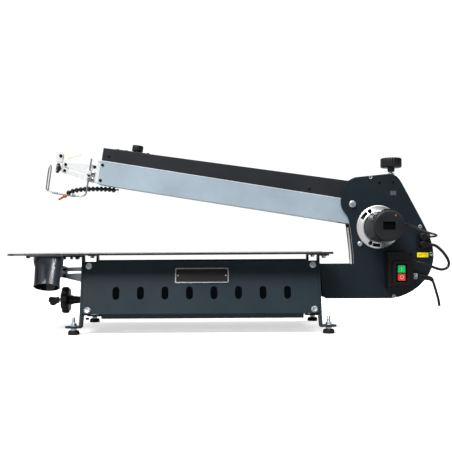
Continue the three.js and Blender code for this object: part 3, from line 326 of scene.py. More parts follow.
# the label's faint glow is painted light that makes it brighter
label_glow = YELLOW.node_tree.nodes["Principled BSDF"].inputs
label_glow["Emission Color"].default_value = (1.0, 0.76, 0.0, 1)
label_glow["Emission Strength"].default_value = 0.38
GREY_LABEL = printed("label_grey", (0.10, 0.105, 0.115))
BADGE = printed("badge_black", (0.006, 0.006, 0.007))
AMBER = moulded("indicator_amber", (0.42, 0.16, 0.03), rough=0.25, grain=0.05)
BLACK_OXIDE = brushed("black_oxide_steel", (0.022, 0.022, 0.025), rough=0.36,
                      along=(900, 900, 900), stain=0.2)
LINK = brushed("link_steel", (0.44, 0.48, 0.52), rough=0.30, along=(40, 900, 900),
               dark=0.62, stain=0.2)

# ------------------------------------------------------------------ frames

IDENTITY = Matrix.Identity(4)


def shift(x, y, z):
    return Matrix.Translation((x, y, z))


def spin(angle, axis):
    return Matrix.Rotation(angle, 4, axis)


def place(position, axis, turn=0.0):
    """A frame at the position whose Z is the axis, turned about that axis."""
    up = Vector(axis).normalized()
    guide = Vector((0, 0, 1)) if abs(up.z) < 0.9 else Vector((1, 0, 0))
    across = guide.cross(up).normalized()
    rotation = Matrix((across, up.cross(across), up)).transposed().to_4x4()
    return shift(*position) @ rotation @ spin(turn, "Z")


def right_face(y, x=0, z=0):
    """Local X and Y lie along world X and Z; local Z points out to the right (-Y)."""
    return place((x, y, z), (0, -1, 0))


def left_face(y, x, z):
    """Local Z points out to the left (+Y)."""
    return place((x, y, z), (0, 1, 0))


# ------------------------------------------------------------------ outlines and paths


def ring(radius, height, count):
    """Points round the Z axis; radius is a number or a function of the angle."""
    points = []
    for k in range(count):
        angle = math.tau * k / count
        reach = radius(angle) if callable(radius) else radius
        points.append((reach * math.cos(angle), reach * math.sin(angle), height))
    return points


def hex_radius(angle, corner):
    """Distance from the centre of a hexagon to its outline, given its corner radius."""
    return corner * math.cos(math.pi / 6) / math.cos(angle % (math.pi / 3) - math.pi / 6)


def level(outline, height):
    return [(point[0], point[1], height) for point in outline]


def rounded(corners, steps=6):
    """A closed outline with rounded corners; each corner is (x, y, radius)."""
    points = []
    for i, (x, y, radius) in enumerate(corners):
        corner = Vector((x, y))
        back = (Vector(corners[i - 1][:2]) - corner).normalized()
        ahead = (Vector(corners[(i + 1) % len(corners)][:2]) - corner).normalized()
        half = math.acos(max(-1, min(1, back.dot(ahead)))) / 2
        reach = radius / math.tan(half)
        centre = corner + (back + ahead).normalized() * (radius / math.sin(half))
        first, last = corner + back * reach - centre, corner + ahead * reach - centre
        start = math.atan2(first.y, first.x)
        end = math.atan2(last.y, last.x)
        while end - start > math.pi:
            end -= math.tau
        while end - start < -math.pi:
            end += math.tau
        for k in range(steps + 1):
            angle = start + (end - start) * k / steps
            points.append((centre.x + radius * math.cos(angle),
                           centre.y + radius * math.sin(angle)))
    return points


def rect(x0, x1, y0, y1, radius, steps=5):
    return rounded([(x, y, radius) for x, y in ((x0, y0), (x1, y0), (x1, y1), (x0, y1))], steps)


def spline(points, per):
    """A centripetal Catmull-Rom curve through the points, with `per` steps a span."""
    points = [Vector(point) for point in points]
    ends = [points[0] * 2 - points[1]], [points[-1] * 2 - points[-2]]
    padded = ends[0] + points + ends[1]
    curve = []
    for i in range(1, len(padded) - 2):
        span = padded[i - 1 : i + 3]
        knots = [0.0]
        for start, end in zip(span, span[1:]):
            knots.append(knots[-1] + max((end - start).length, 1e-6) ** 0.5)
        for k in range(per):
            t = knots[1] + (knots[2] - knots[1]) * k / per
            blend = span
            # blend neighbours in three rounds; the last uses the middle knots only
            for low, high in (((0, 1, 2), (1, 2, 3)), ((0, 1), (2, 3)), ((1,), (2,))):
                blend = [
                    blend[j] * ((knots[b] - t) / (knots[b] - knots[a]))
                    + blend[j + 1] * ((t - knots[a]) / (knots[b] - knots[a]))
                    for j, (a, b) in enumerate(zip(low, high))
                ]
            curve.append(blend[0])
    curve.append(points[-1])
    return curve


def along_path(path, distance):
    """The point at a distance along the path, and the direction there."""
    for start, end in zip(path, path[1:]):
        step = (end - start).length
        if step >= distance:
            return start.lerp(end, distance / step), (end - start).normalized()
        distance -= step


# ------------------------------------------------------------------ mesh tools


class Shape:
    """Geometry gathered in millimetres in one frame, then made into one object."""

    def __init__(self, frame=IDENTITY):
        self.bm = bmesh.new()
        self.frame = frame
        self.mats = []

    def slot(self, mat):
        if mat not in self.mats:
            self.mats.append(mat)
        return self.mats.index(mat)

    def add(self, points, faces, mat, at=IDENTITY):
        slot = self.slot(mat)
        matrix = self.frame @ at
        verts = [self.bm.verts.new(matrix @ Vector(point)) for point in points]
        made = [self.bm.faces.new([verts[i] for i in face]) for face in faces]
        for face in made:
            face.material_index = slot
        return made

    def stack(self, layers, mat, at=IDENTITY, caps=False, closed=False):
        """Skin a list of rings or single points; closed also joins the last to the first."""
        points, rings = [], []
        for layer in layers:
            rings.append(range(len(points), len(points) + len(layer)))
            points += layer
        faces = [tuple(rings[0][::-1]), tuple(rings[-1])] if caps else []
        if closed:
            rings.append(rings[0])
        for low, high in zip(rings, rings[1:]):
            count = max(len(low), len(high))
            if count == 1:
                continue
            for k in range(count):
                after = (k + 1) % count
                if len(low) == 1:
                    faces.append((low[0], high[after], high[k]))
                elif len(high) == 1:
                    faces.append((low[k], low[after], high[0]))
                else:
                    faces.append((low[k], low[after], high[after], high[k]))
        return self.add(points, faces, mat, at)

    def soften(self, faces, width, segments=2, angle=30):
        """Bevel the edges sharper than the angle in degrees."""
        edges = {edge for face in faces for edge in face.edges}
        sharp = [edge for edge in edges if len(edge.link_faces) == 2
                 and edge.calc_face_angle(0) > math.radians(angle)]
        if sharp:
            bmesh.ops.bevel(self.bm, geom=sharp, offset=width, offset_type="OFFSET",
                            segments=segments, profile=0.5, affect="EDGES", clamp_overlap=True)

    def lathe(self, profile, mat, at=IDENTITY, sides=48, ripple=None):
        """profile: (radius, height) pairs; ripple(angle, radius, height) adds to the radius."""
        layers = []
        for radius, height in profile:
            if radius < 1e-6:
                layers.append([(0, 0, height)])
            elif ripple:
                layers.append(ring(lambda a: radius + ripple(a, radius, height), height, sides))
            else:
                layers.append(ring(radius, height, sides))
        self.stack(layers, mat, at)

    def prism(self, outline, low, high, mat, at=IDENTITY, bevel=0.4, segments=2):
        following = outline[1:] + outline[:1]
        area = sum(x0 * y1 - x1 * y0 for (x0, y0), (x1, y1) in zip(outline, following))
        points = outline if area > 0 else outline[::-1]
        faces = self.stack([level(points, low), level(points, high)], mat, at, caps=True)
        self.soften(faces, bevel, segments)

    def box(self, xs, ys, zs, mat, at=IDENTITY, bevel=0.5, segments=2):
        corners = [(xs[0], ys[0]), (xs[1], ys[0]), (xs[1], ys[1]), (xs[0], ys[1])]
        self.prism(corners, *zs, mat, at, bevel, segments)

    def holed_plate(self, outer, inner, low, high, mat, at, bevel=0.0):
        """A plate between two outlines with equal numbers of points."""
        rings = ((outer, low), (outer, high), (inner, high), (inner, low))
        faces = self.stack([level(*pair) for pair in rings], mat, at, closed=True)
        if bevel:
            self.soften(faces, bevel, segments=3, angle=40)

    def tube(self, points, radius, mat, sides=16, per=8):
        """A round rod along a smooth path, with its ends eased."""
        path = spline(points, per)
        last = len(path) - 1
        tangents = [(path[min(i + 1, last)] - path[max(i - 1, 0)]).normalized()
                    for i in range(last + 1)]
        guide = Vector((0, 0, 1)) if abs(tangents[0].z) < 0.9 else Vector((1, 0, 0))
        across = guide.cross(tangents[0]).normalized()
        ease = min(radius * 0.35, 1.2)
        layers = []

        def add_ring(centre, tangent, reach):
            up = tangent.cross(across)
            angles = [math.tau * k / sides for k in range(sides)]
            layers.append([centre + (across * math.cos(a) + up * math.sin(a)) * reach
                           for a in angles])

        add_ring(path[0], tangents[0], radius - ease * 0.9)
        for i, (point, tangent) in enumerate(zip(path, tangents)):
            if i:
                across = (across - tangent * across.dot(tangent)).normalized()
            if i == 0:
                point = point + tangent * min(ease, (path[1] - path[0]).length * 0.4)
            if i == last:
                point = point - tangent * min(ease, (path[-1] - path[-2]).length * 0.4)
            add_ring(point, tangent, radius)
        add_ring(path[-1], tangents[-1], radius - ease * 0.9)
        self.stack(layers, mat, caps=True)

    def socket_screw(self, at, radius, height, dome=0.0, mat=BLACK_OXIDE, key=None):
        """Round head with a hexagon socket of corner radius key, pointing along +Z."""
        key = key or radius * 0.5
        chamfer = min(0.18 * radius, 0.35 * height)
        profile = [
            (radius, 0.0), (radius, height - chamfer - dome),
            (radius - chamfer * 0.35, height - chamfer * 0.3 - dome * 0.8),
            (radius - chamfer, height - dome * 0.7),
        ]
        if dome:
            profile.append((radius * 0.75, height - dome * 0.25))
        layers = [ring(*pair, 28) for pair in profile]
        socket = ((key * 1.12, height), (key, height - 0.12 * radius), (key, 0.38 * height))
        for corner, z in socket:
            layers.append(ring(lambda a: hex_radius(a, corner), z, 28))
        layers += [[(0, 0, 0.3 * height)], [(0, 0, 0)]]
        self.stack(layers, mat, at, closed=True)

    def hex_head(self, at, radius, height, mat=ZINC, washer=0.0, washer_height=1.2):
        """Hexagon head with its turned chamfer, on an optional washer of the given radius."""
        base = 0.0
        if washer:
            base = washer_height
            profile = [(0, 0), (washer - 0.3, 0), (washer, 0.3), (washer, base - 0.3),
                       (washer - 0.4, base), (0, base)]
            self.lathe(profile, mat, at, 32)
        top = base + height
        foot = ring(lambda a: hex_radius(a, radius), base, 36)
        flat = radius * math.cos(math.pi / 6)
        shoulder = [(x, y, top - (math.hypot(x, y) - flat) * 0.62 - 0.15) for x, y, _ in foot]
        layers = [foot, shoulder, ring(radius * 0.84, top, 36),
                  ring(radius * 0.62, top - 0.25, 36), [(0, 0, top - 0.25)], [(0, 0, base)]]
        self.stack(layers, mat, at, closed=True)

    def thread(self, at, radius, low, high, pitch, mat, sides=24):
        """A screw thread as a helical surface, closed at both ends."""
        rows = int((high - low) / pitch * 4)
        depth = pitch * 0.28
        layers = []
        for i in range(rows + 1):
            z = low + (high - low) * i / rows

            def flank(angle):
                phase = (z / pitch - angle / math.tau) % 1.0
                return radius - depth * (1 - abs(2 * phase - 1))

            layers.append(ring(flank, z, sides))
        self.stack(layers, mat, at, caps=True)

    def finish(self, name, body, slot=None, replaces=None):
        bm = self.bm
        bmesh.ops.remove_doubles(bm, verts=bm.verts, dist=1e-4)
        bmesh.ops.recalc_face_normals(bm, faces=bm.faces)
        for face in bm.faces:
            face.smooth = True
        for edge in bm.edges:
            if len(edge.link_faces) == 2:
                edge.smooth = edge.calc_face_angle(0) < math.radians(32)
        bmesh.ops.scale(bm, vec=(MM, MM, MM), verts=bm.verts)
        mesh = bpy.data.meshes.new(name)
        bm.to_mesh(mesh)
        bm.free()
        for mat in self.mats:
            mesh.materials.append(mat)
        made = bpy.data.objects.new(name, mesh)
        SCENE.collection.objects.link(made)
        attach(made, body)
        if replaces:
            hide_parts(replaces)


# ------------------------------------------------------------------ finish for CAD nodes


def cad_finish_group():
    """Geometry nodes that weld a mesh and shade it smooth, except at edges over 30 degrees."""
    group = bpy.data.node_groups.new("cad_finish", "GeometryNodeTree")
    for way in ("INPUT", "OUTPUT"):
        group.interface.new_socket("Geometry", in_out=way, socket_type="NodeSocketGeometry")
    nodes = Nodes(group)
    source = nodes.node("NodeGroupInput").outputs[0]
    weld = nodes.node("GeometryNodeMergeByDistance", {"Geometry": source, "Distance": 1e-5})
    smooth = nodes.node("GeometryNodeSetShadeSmooth", {"Geometry": weld.outputs[0]},
                        domain="FACE")
    angle = nodes.node("GeometryNodeInputMeshEdgeAngle").outputs["Unsigned Angle"]
    sharp = nodes.node("FunctionNodeCompare", {0: angle, 1: math.radians(30)},
                       data_type="FLOAT", operation="GREATER_THAN")
    inputs = {"Geometry": smooth.outputs[0], "Selection": sharp.outputs[0],
              "Shade Smooth": False}
    creased = nodes.node("GeometryNodeSetShadeSmooth", inputs, domain="EDGE")
    nodes.node("NodeGroupOutput", {0: creased.outputs[0]})
    return group


CAD_FINISH = cad_finish_group()


def dress(node, mat, width):
    """Material, smooth shading and broken edges for a CAD node."""
    piece = CAD_NODES[node]
    piece.data.materials.clear()
    piece.data.materials.append(mat)
    piece.modifiers.new("finish", "NODES").node_group = CAD_FINISH
    bevel = piece.modifiers.new("broken_edges", "BEVEL")
    bevel.limit_method = "ANGLE"
    bevel.angle_limit = math.radians(34)
    bevel.width = width * MM
    bevel.segments = 2
    bevel.use_clamp_overlap = True
    bevel.harden_normals = False


# CAD node, material, width of the broken edge
CAD_DRESS = (
    ("work_table", TABLE, 0.5), ("front_leg_frame", NAVY, 0.6), ("rear_leg_frame", NAVY, 0.6),
    ("right_side_panel", NAVY, 0.4), ("left_side_panel", NAVY, 0.4), ("dust_port", DUST, 0.4),
    ("front_trunnion", STEEL, 0.15), ("rear_trunnion", STEEL, 0.3),
    ("tilt_pinion_shaft", STEEL, 0.12), ("head_plate_right", NAVY_SHADED, 0.5),
    ("head_plate_left", NAVY_SHADED, 0.5), ("throat_cover", ALU, 0.3),
    ("rear_cover", NAVY_SHADED, 0.4), ("lower_arm_beam", NAVY_SHADED, 0.6),
    ("lower_link_top", LINK, 0.4), ("lower_bell_crank", LINK, 0.4),
    ("lower_blade_clamp", ALU, 0.35), ("lower_push_rod", ZINC, 0.3),
    ("rear_rocker", STEEL, 0.4), ("rocker_pivot_bolt", ZINC, 0.4),
    ("connecting_rod", ALU, 0.4), ("motor_crank", STEEL, 0.3), ("switch_box", PLASTIC, 0.5),
    ("tension_nut", STEEL, 0.4), ("upper_arm_channel", ARM_BLUE, 0.7),
    ("upper_arm_cover", ARM_BLACK, 0.8), ("arm_nose_block", ALU_PALE, 0.4),
    ("upper_bell_crank", ALU_PALE, 0.4), ("upper_link_bottom", ALU_PALE, 0.4),
    ("upper_push_rod", ZINC, 0.3), ("upper_blade_clamp", ALU_PALE, 0.5),
    ("control_plate", PLASTIC, 0.3), ("power_rocker", PLASTIC, 0.5),
    ("tension_lever", CREAM, 0.6), ("arm_pivot_bolt", ZINC, 0.4), ("hold_down_foot", DULL, 0.3),
)
for entry in CAD_DRESS:
    dress(*entry)

# ------------------------------------------------------------------ base

PANEL_TOP_Y, PANEL_TOP_Z = 122, -20.5
PANEL_SPREAD = 0.27  # how far a side panel leans out per millimetre of drop
FOOT_X = {"front": -235.5, "rear": 379.5}
FOOT_Y = 153


def panel_point(x, z, side):
    """A point on a side panel's outer face and its normal; side is -1 right, 1 left."""
    y = side * (PANEL_TOP_Y + (PANEL_TOP_Z - z) * PANEL_SPREAD)
    return Vector((x, y, z)), Vector((0, side, PANEL_SPREAD)).normalized()


for side, side_name in ((-1, "right"), (1, "left")):
    part = Shape()
    for x in (-202.7, 345.7):
        for z in (-31.5, -137.8):
            at = place(*panel_point(x, z, side), turn=0.3)
            part.hex_head(at, 6.6, 4.2, washer=7.9, washer_height=1.4)
    part.finish(f"panel_bolts_{side_name}", "base", "zinc_plate")

# blank name plate with a raised rim, lying on the right panel
at = shift(*panel_point(74, -56, -1)[0]) @ spin(math.pi / 2 - math.atan(PANEL_SPREAD), "X")
part = Shape()
part.prism(rect(-65, 65, -18.5, 18.5, 3.5), 0.1, 1.2, BADGE, at, 0.2)
part.holed_plate(rect(-65.2, 65.2, -18.7, 18.7, 3.5, 6), rect(-62.8, 62.8, -16.3, 16.3, 2.2, 6),
                 1.0, 2.1, ALU, at)
rivet = [(0, 1.1), (1.9, 1.1), (1.7, 1.9), (1.0, 2.4), (0, 2.55)]
for x in (-58, 58):
    part.lathe(rivet, ALU, at @ shift(x, 0, 0), 20)
part.finish("name_plate_blank", "base")

# bolts under the table
part = Shape()
for x in (-234, 375):
    for y in (-109, 109):
        at = place((x, y, -9.4), (0, 0, -1), 0.2)
        part.hex_head(at, 5.6, 4.6, washer=7.2, washer_height=1.1)
part.finish("table_bolts", "base", "zinc_plate")

# bar and screws under the table's front right
part = Shape()
part.box((-267, -221), (-123, -117), (-9.2, -5.1), BLACK_OXIDE)
for x in (-263, -246, -232):
    part.socket_screw(place((x, -121, -9.1), (0, 0, -1)), 3.4, 5.6, dome=1.2)
part.socket_screw(place((-358, -100, -5.1), (0, 0, -1)), 5.0, 6.6, dome=1.6)
part.finish("table_fixings", "base")

# two small bolts and a red-tipped stud on the front leg
part = Shape()
for z, mat in ((-93.6, ZINC), (-143.4, BLACK_OXIDE)):
    part.hex_head(place((-220.8, -124, z), (-1, 0, 0)), 3.4, 4.2, mat)
at = place((-216, -100, -162.7), (1, 0, 0))
part.lathe([(0, 0), (2.6, 0), (2.8, 0.4), (2.8, 6.6), (2.4, 7.2), (0, 7.2)], PLASTIC, at, 28)
part.lathe([(0, 7.0), (2.0, 7.0), (2.0, 8.4), (1.4, 9.0), (0, 9.2)], RED, at, 28)
part.finish("leg_fixings", "base")

# levelling feet: ribbed pad, threaded stud and nut
FOOT_PAD = [  # radius, height
    (0, -196), (12.4, -196), (13.3, -195.6), (13.8, -194.5), (13.9, -192), (13.4, -189),
    (12.4, -187.2), (11.6, -186.2), (10.6, -185.7), (6.2, -185.6), (0, -185.6),
]
PAD_TOP = FOOT_PAD[-1][1]


def foot_ribs(angle, radius, height):
    return 0.28 * math.cos(20 * angle) if radius > 12 and -194.6 < height < -187 else 0


for end, x in FOOT_X.items():
    for side, side_name in ((-1, "right"), (1, "left")):
        part = Shape()
        at = shift(x, side * FOOT_Y, 0)
        part.lathe(FOOT_PAD, RUBBER, at, 80, foot_ribs)
        part.thread(at, 3.95, PAD_TOP, -154.2, 1.25, ZINC)
        part.lathe([(0, -154.3), (3.7, -154.25), (3.4, -153.8), (0, -153.7)], ZINC, at, 24)
        part.hex_head(at @ shift(0, 0, PAD_TOP), 7.3, 5.0)
        where = f"{end}_{side_name}"
        part.finish(f"foot_{where}", f"levelling_foot_{where}", "foot_rubber",
                    f"levelling_foot_{where}")
part = Shape()
for x in FOOT_X.values():
    for side in (-1, 1):
        part.hex_head(place((x, side * FOOT_Y, -175.4), (0, 0, 1), 0.4), 7.3, 5.2, washer=8.2)
part.finish("foot_jam_nuts", "base")

# tilt handwheel and lock knob; heights in the profiles are world X
TILT_Z = -122.35
HANDWHEEL = [  # radius, x
    (5.3, -294.4), (13, -294.4), (16, -293.2), (22, -293.0), (26.5, -294.2), (30.2, -293.6),
    (32.2, -291.4), (33.0, -288), (33.0, -281), (32.4, -277.6), (31.0, -275.8), (29.4, -275.2),
    (14.5, -275.0), (12.6, -274.4), (12.0, -272), (12.0, -266), (10.4, -264.6), (9.9, -254),
    (9.2, -253.2), (9.2, -241.5), (8.6, -240.4), (5.3, -240.3), (5.3, -294.4),
]
LOCK_KNOB = [  # radius, x
    (0, -330), (5.2, -330), (6.6, -328.6), (7.2, -325), (6.8, -319), (6.6, -314), (7.6, -309.5),
    (8.8, -307), (9.0, -304.4), (8.2, -303.5), (3.0, -303.4), (3.0, -288.2), (0, -288),
]
LOCK_WING = [  # x, z from the axis, corner radius
    (-329, 9, 3.5), (-306, 6.5, 3), (-304.4, -7, 2), (-316, -15, 4), (-326, -12.5, 4),
]


def wheel_lobes(angle, radius, height):
    return 2.3 * math.cos(7 * angle) if radius > 26 else 0


tilt_axis = place((0, 0, TILT_Z), (1, 0, 0))
part = Shape()
part.lathe(HANDWHEEL, KNOB, tilt_axis, 112, wheel_lobes)
part.finish("tilt_handwheel_shell", "tilt_drive", "black_plastic", "tilt_handwheel")
part = Shape()
part.lathe(LOCK_KNOB, KNOB, tilt_axis, 40)
part.prism(rounded(LOCK_WING), -3.8, 3.8, KNOB, right_face(0, z=TILT_Z), 1.2, 3)
part.finish("tilt_lock_knob_shell", "tilt_lock_knob", "black_plastic", "tilt_lock_knob")

# ------------------------------------------------------------------ head fixings

HEAD_FACE = 34.0  # Y of the head plates' outer faces, on either side
ARM_PIVOT_X, ARM_PIVOT_Z = 460.5, 122
ROCKER_X, ROCKER_Z = 478.7, 19.8
STANDOFFS = ((507.5, 190.4), (634.1, 62.5), (661.4, -7.5), (565.3, -115.6))  # x, z
STANDOFF_HEAD = [  # radius, height
    (0, 0), (4.5, 0), (4.9, 0.4), (4.9, 1.9), (4.3, 2.6), (2.5, 2.7), (2.2, 2.5), (2.0, 1.2),
    (0, 1.2),
]

for side_name, face, side in (("right", right_face, -1), ("left", left_face, 1)):
    part = Shape()
    for x, z in STANDOFFS:
        part.lathe(STANDOFF_HEAD, ZINC, face(side * HEAD_FACE, x, z), 36)
        part.socket_screw(face(side * (HEAD_FACE + 1.1), x, z), 1.9, 0.8)
    part.finish(f"standoff_screws_{side_name}", "head", "zinc_plate")
part = Shape()
for x, z in ((529.8, 176.9), (564.5, 178.8)):
    part.socket_screw(right_face(-HEAD_FACE, x, z), 3.3, 1.9, dome=0.7)
part.finish("cover_screws_head", "head")

part = Shape()
at = right_face(-34.3, ARM_PIVOT_X, ARM_PIVOT_Z)
part.hex_head(at, 7.4, 5.6, washer=8.8, washer_height=1.5)
part.tube([(ARM_PIVOT_X, y, ARM_PIVOT_Z) for y in (-34.2, -27, -19.6)], 5.95, ZINC,
          sides=32, per=2)
part.finish("arm_pivot_bolt_fine", "head", "zinc_plate", "arm_pivot_bolt")
part = Shape()
washer = [(0, 0), (6.2, 0), (6.5, 0.3), (6.5, 1.0), (6.1, 1.4), (0, 1.4)]
part.lathe(washer, ZINC, right_face(-34.1, ROCKER_X, ROCKER_Z), 32)
part.hex_head(right_face(-35.5, ROCKER_X, ROCKER_Z), 5.3, 3.8)
part.tube([(ROCKER_X, y, ROCKER_Z) for y in (-35, 0, 35)], 4.95, STEEL, sides=32, per=2)
part.hex_head(left_face(34.2, ROCKER_X, ROCKER_Z), 7.4, 5.4, washer=9)
part.finish("rocker_pivot_bolt_fine", "head", "zinc_plate", "rocker_pivot_bolt")

# screws of the lower link and bell crank
for name, z, body in (("lower_link_screw", -43, "lower_link_top"),
                      ("lower_crank_screw", -59.5, "lower_bell_crank")):
    part = Shape()
    part.socket_screw(right_face(-11.6, -286.5, z), 4.0, 2.4, dome=0.5)
    part.finish(name, body)

# throat lining: strips side by side across the machine, following the throat
THROAT = [Vector(point) for point in ((392, -31.8), (463.4, -31.8), (461.3, 3.7), (454.6, 63))]
LINING_OUTER = 3.4
# the two near-black strips are painted shade: the gap beside the pale strip and the return along
# the right edge
LINING = (  # right edge y, left edge y, offset of the near face, material
    (4, 31.6, 1.4, ALU_PALE), (-20, 4, 1.4, PAINTED_SHADE), (-27, -20, 1.4, ALU), (-31.6, -27, 1.6, PAINTED_SHADE),
)


def beside(path, offset):
    """The path moved to the right of its own direction."""
    moved = []
    for i, point in enumerate(path):
        normals = []
        for start, end in ((i - 1, i), (i, i + 1)):
            if start >= 0 and end < len(path):
                along = (path[end] - path[start]).normalized()
                normals.append(Vector((along.y, -along.x)))
        normal = sum(normals, Vector((0, 0)))
        normal = normal * (len(normals) / normal.length_squared)
        moved.append((point.x + normal.x * offset, point.y + normal.y * offset))
    return moved


part = Shape()
for y_right, y_left, near, mat in LINING:
    outline = beside(THROAT, near) + beside(THROAT, LINING_OUTER)[::-1]
    part.prism(outline, 0, y_left - y_right, mat, right_face(y_left), 0.25)
part.finish("throat_lining", "head", "cast_aluminium", "throat_cover")

# blank labels
label_face = right_face(-HEAD_FACE - 0.05)
part = Shape()
part.prism(rect(557.8, 572.8, 144.3, 155.2, 0.8), 0, 0.35, GREY_LABEL, label_face, 0.1)
part.finish("rating_label_blank", "head")
part = Shape()
part.prism(rect(626, 655, -16, -4, 0.6), 0, 0.35, YELLOW, label_face, 0.1)
part.prism(rect(629.5, 638.5, -9.4, -8.2, 0.2), 0.3, 0.5, AMBER, label_face, 0.03)
part.prism(rect(629.5, 636.5, -11.8, -10.8, 0.2), 0.3, 0.5, AMBER, label_face, 0.03)
part.finish("caution_label_plain", "head")

# ------------------------------------------------------------------ motor

MOTOR_X, MOTOR_Z = 526.0, 62.4
CONE_RIM, CONE_TOP = (53.6, 4.9), (42.0, 7.6)  # radius, height of the flange's cone
MOTOR_FLANGE = [  # radius, height
    (38.4, 0), (55.2, 0), (55.7, 0.5), (55.7, 3.4), (54.9, 4.4), CONE_RIM, CONE_TOP,
    (40.9, 8.4), (40.4, 13.4), (39.8, 14.0), (38.9, 14.0), (38.4, 13.4), (38.4, 0),
]
flange_face = right_face(-34.3, MOTOR_X, MOTOR_Z)
part = Shape()
part.lathe(MOTOR_FLANGE, ALU_TURNED, flange_face, 144)
part.finish("motor_flange_fine", "head", "cast_aluminium", "motor_flange")

# dark curved slots, just proud of the flange's cone: painted shade standing in for the inside of
# the slots
SLOT_INNER, SLOT_OUTER, SLOT_STEPS = 42.8, 51.2, 12
cone_slope = (CONE_TOP[1] - CONE_RIM[1]) / (CONE_RIM[0] - CONE_TOP[0])
part = Shape()
for start, end in ((129, 154), (251, 274), (9, 33)):
    step = (end - start) / SLOT_STEPS
    angles = [math.radians(start + step * k) for k in range(SLOT_STEPS + 1)]
    loop = [(SLOT_OUTER, angle) for angle in angles]
    loop += [(SLOT_INNER, angle) for angle in angles[::-1]]
    count = len(loop)
    points = []
    for lift in (0.06, -0.6):
        for radius, angle in loop:
            height = CONE_RIM[1] + (CONE_RIM[0] - radius) * cone_slope + lift
            points.append((radius * math.cos(angle), radius * math.sin(angle), height))
    faces = []
    for base in (0, count):
        faces += [(base + k, base + k + 1, base + count - 2 - k, base + count - 1 - k)
                  for k in range(SLOT_STEPS)]
    faces += [(k, (k + 1) % count, count + (k + 1) % count, count + k) for k in range(count)]
    part.add(points, faces, PAINTED_SHADE, flange_face)
part.finish("motor_flange_slot_shade", "head")
part = Shape()
for degrees in (119.6, 242.6, 1.0):
    angle = math.radians(degrees)
    x, z = MOTOR_X + 46.9 * math.cos(angle), MOTOR_Z + 46.9 * math.sin(angle)
    part.socket_screw(right_face(-40.4, x, z), 5.0, 4.6, dome=0.6, key=2.6)
part.finish("motor_flange_screws", "head")

MOTOR_BARREL = [  # radius, y
    (0, -128), (36.8, -128), (37.8, -127), (37.9, -60), (37.9, -40), (37.0, -39.2), (37.0, -35),
    (0, -34.6),
]
part = Shape()
part.lathe(MOTOR_BARREL, MOTOR_BLACK, left_face(0, MOTOR_X, MOTOR_Z), 96)
part.finish("motor_barrel_fine", "head", "motor_black", "motor_body")

# end cap with a rectangular window, a block on top and a small amber dot
CAP_SIDES = 96
CAP_PROFILE = [  # radius, height
    (38.0, 0), (38.6, 0.6), (38.6, 22), (38.2, 26), (36.8, 29.6), (34.6, 31.2), (33.4, 31.6),
]
WINDOW_HALF_WIDTH, WINDOW_HALF_HEIGHT = 14.75, 9.85
WINDOW_DEPTHS = ((1.4, 31.6), (0.2, 31.5), (0.0, 30.8), (0.0, 26.5))  # growth, height


def window_radius(angle, grow):
    """Distance from the window's centre to its outline."""
    wide = (WINDOW_HALF_WIDTH + grow) / max(abs(math.cos(angle)), 1e-9)
    tall = (WINDOW_HALF_HEIGHT + grow) / max(abs(math.sin(angle)), 1e-9)
    return min(wide, tall)


layers = [[(0, 0, 0)]] + [ring(*pair, CAP_SIDES) for pair in CAP_PROFILE]
for grow, height in WINDOW_DEPTHS:
    layers.append(ring(lambda angle: window_radius(angle, grow), height, CAP_SIDES))
layers.append([(0, 0, WINDOW_DEPTHS[-1][1])])
part = Shape()
faces = part.stack(layers, CAP_GREY, right_face(-128.3, MOTOR_X, MOTOR_Z))
shade_slot = part.slot(PAINTED_SHADE)
for face in faces[-2 * CAP_SIDES :]:  # the window's walls and floor, near-black as painted shade
    face.material_index = shade_slot
part.box((MOTOR_X - 12, MOTOR_X + 12), (MOTOR_Z + 35.5, MOTOR_Z + 40.4), (134.5, 157.5),
         CAP_GREY, right_face(0), 1.4, 3)
part.lathe([(0, 0), (2.0, 0), (2.0, 0.5), (1.2, 1.0), (0, 1.1)], AMBER,
           right_face(-159.7, MOTOR_X + 15.5, MOTOR_Z + 24.5), 24)
part.finish("motor_cap_fine", "head", "black_plastic", "motor_end_cap")

# ------------------------------------------------------------------ switch

LID_BACK = -76.4
LID_THICKNESS = 3.6 - 0.4 * 0  # millimetres
BUTTON_BACK = -77.6
hole = rect(559.5, 586.5, -77, -31.5, 1.2, 6)
part = Shape()
part.holed_plate(rect(541.5, 603, -95.5, -3, 5, 6), hole, 0, 3.6, PLASTIC,
                 right_face(LID_BACK), 0.9)
part.holed_plate(rect(551, 592.5, -84.5, -25, 4, 6), hole, 3.3, 10.6, PLASTIC,
                 right_face(LID_BACK), 1.1)
for x in (547.5, 597):
    for z in (-89.5, -9):
        part.socket_screw(right_face(-79.6, x, z), 3.4, 1.6, dome=0.5)
part.finish("switch_lid_fine", "head", "black_plastic", "switch_lid")

# name, bottom z, top z, height, material, slot
BUTTONS = (
    ("start_button", -53.2, -35.3, 10.8, GREEN, "green_plastic"),
    ("stop_button", -73.5, -55.7, 11.8, RED, "red_plastic"),
)
for name, bottom, top, height, mat, slot in BUTTONS:
    part = Shape()
    part.prism(rect(563.7, 581.6, bottom, top, 1.6), 0, height, mat,
               right_face(BUTTON_BACK), 1.0, 3)
    symbol_y = BUTTON_BACK - height + 0.02
    if name == "start_button":
        bar = rect(572.1, 573.3, -49.0, -39.4, 0.4, 3)
        part.prism(bar, 0, 0.3, WHITE, right_face(symbol_y), 0.05)
    else:
        part.holed_plate(ring(4.7, 0, 32), ring(3.6, 0, 32), 0, 0.3, WHITE,
                         right_face(symbol_y, 572.7, -64.5), 0.05)
    part.finish(f"{name}_fine", name, slot, name)

# ------------------------------------------------------------------ sockets, plugs and leads

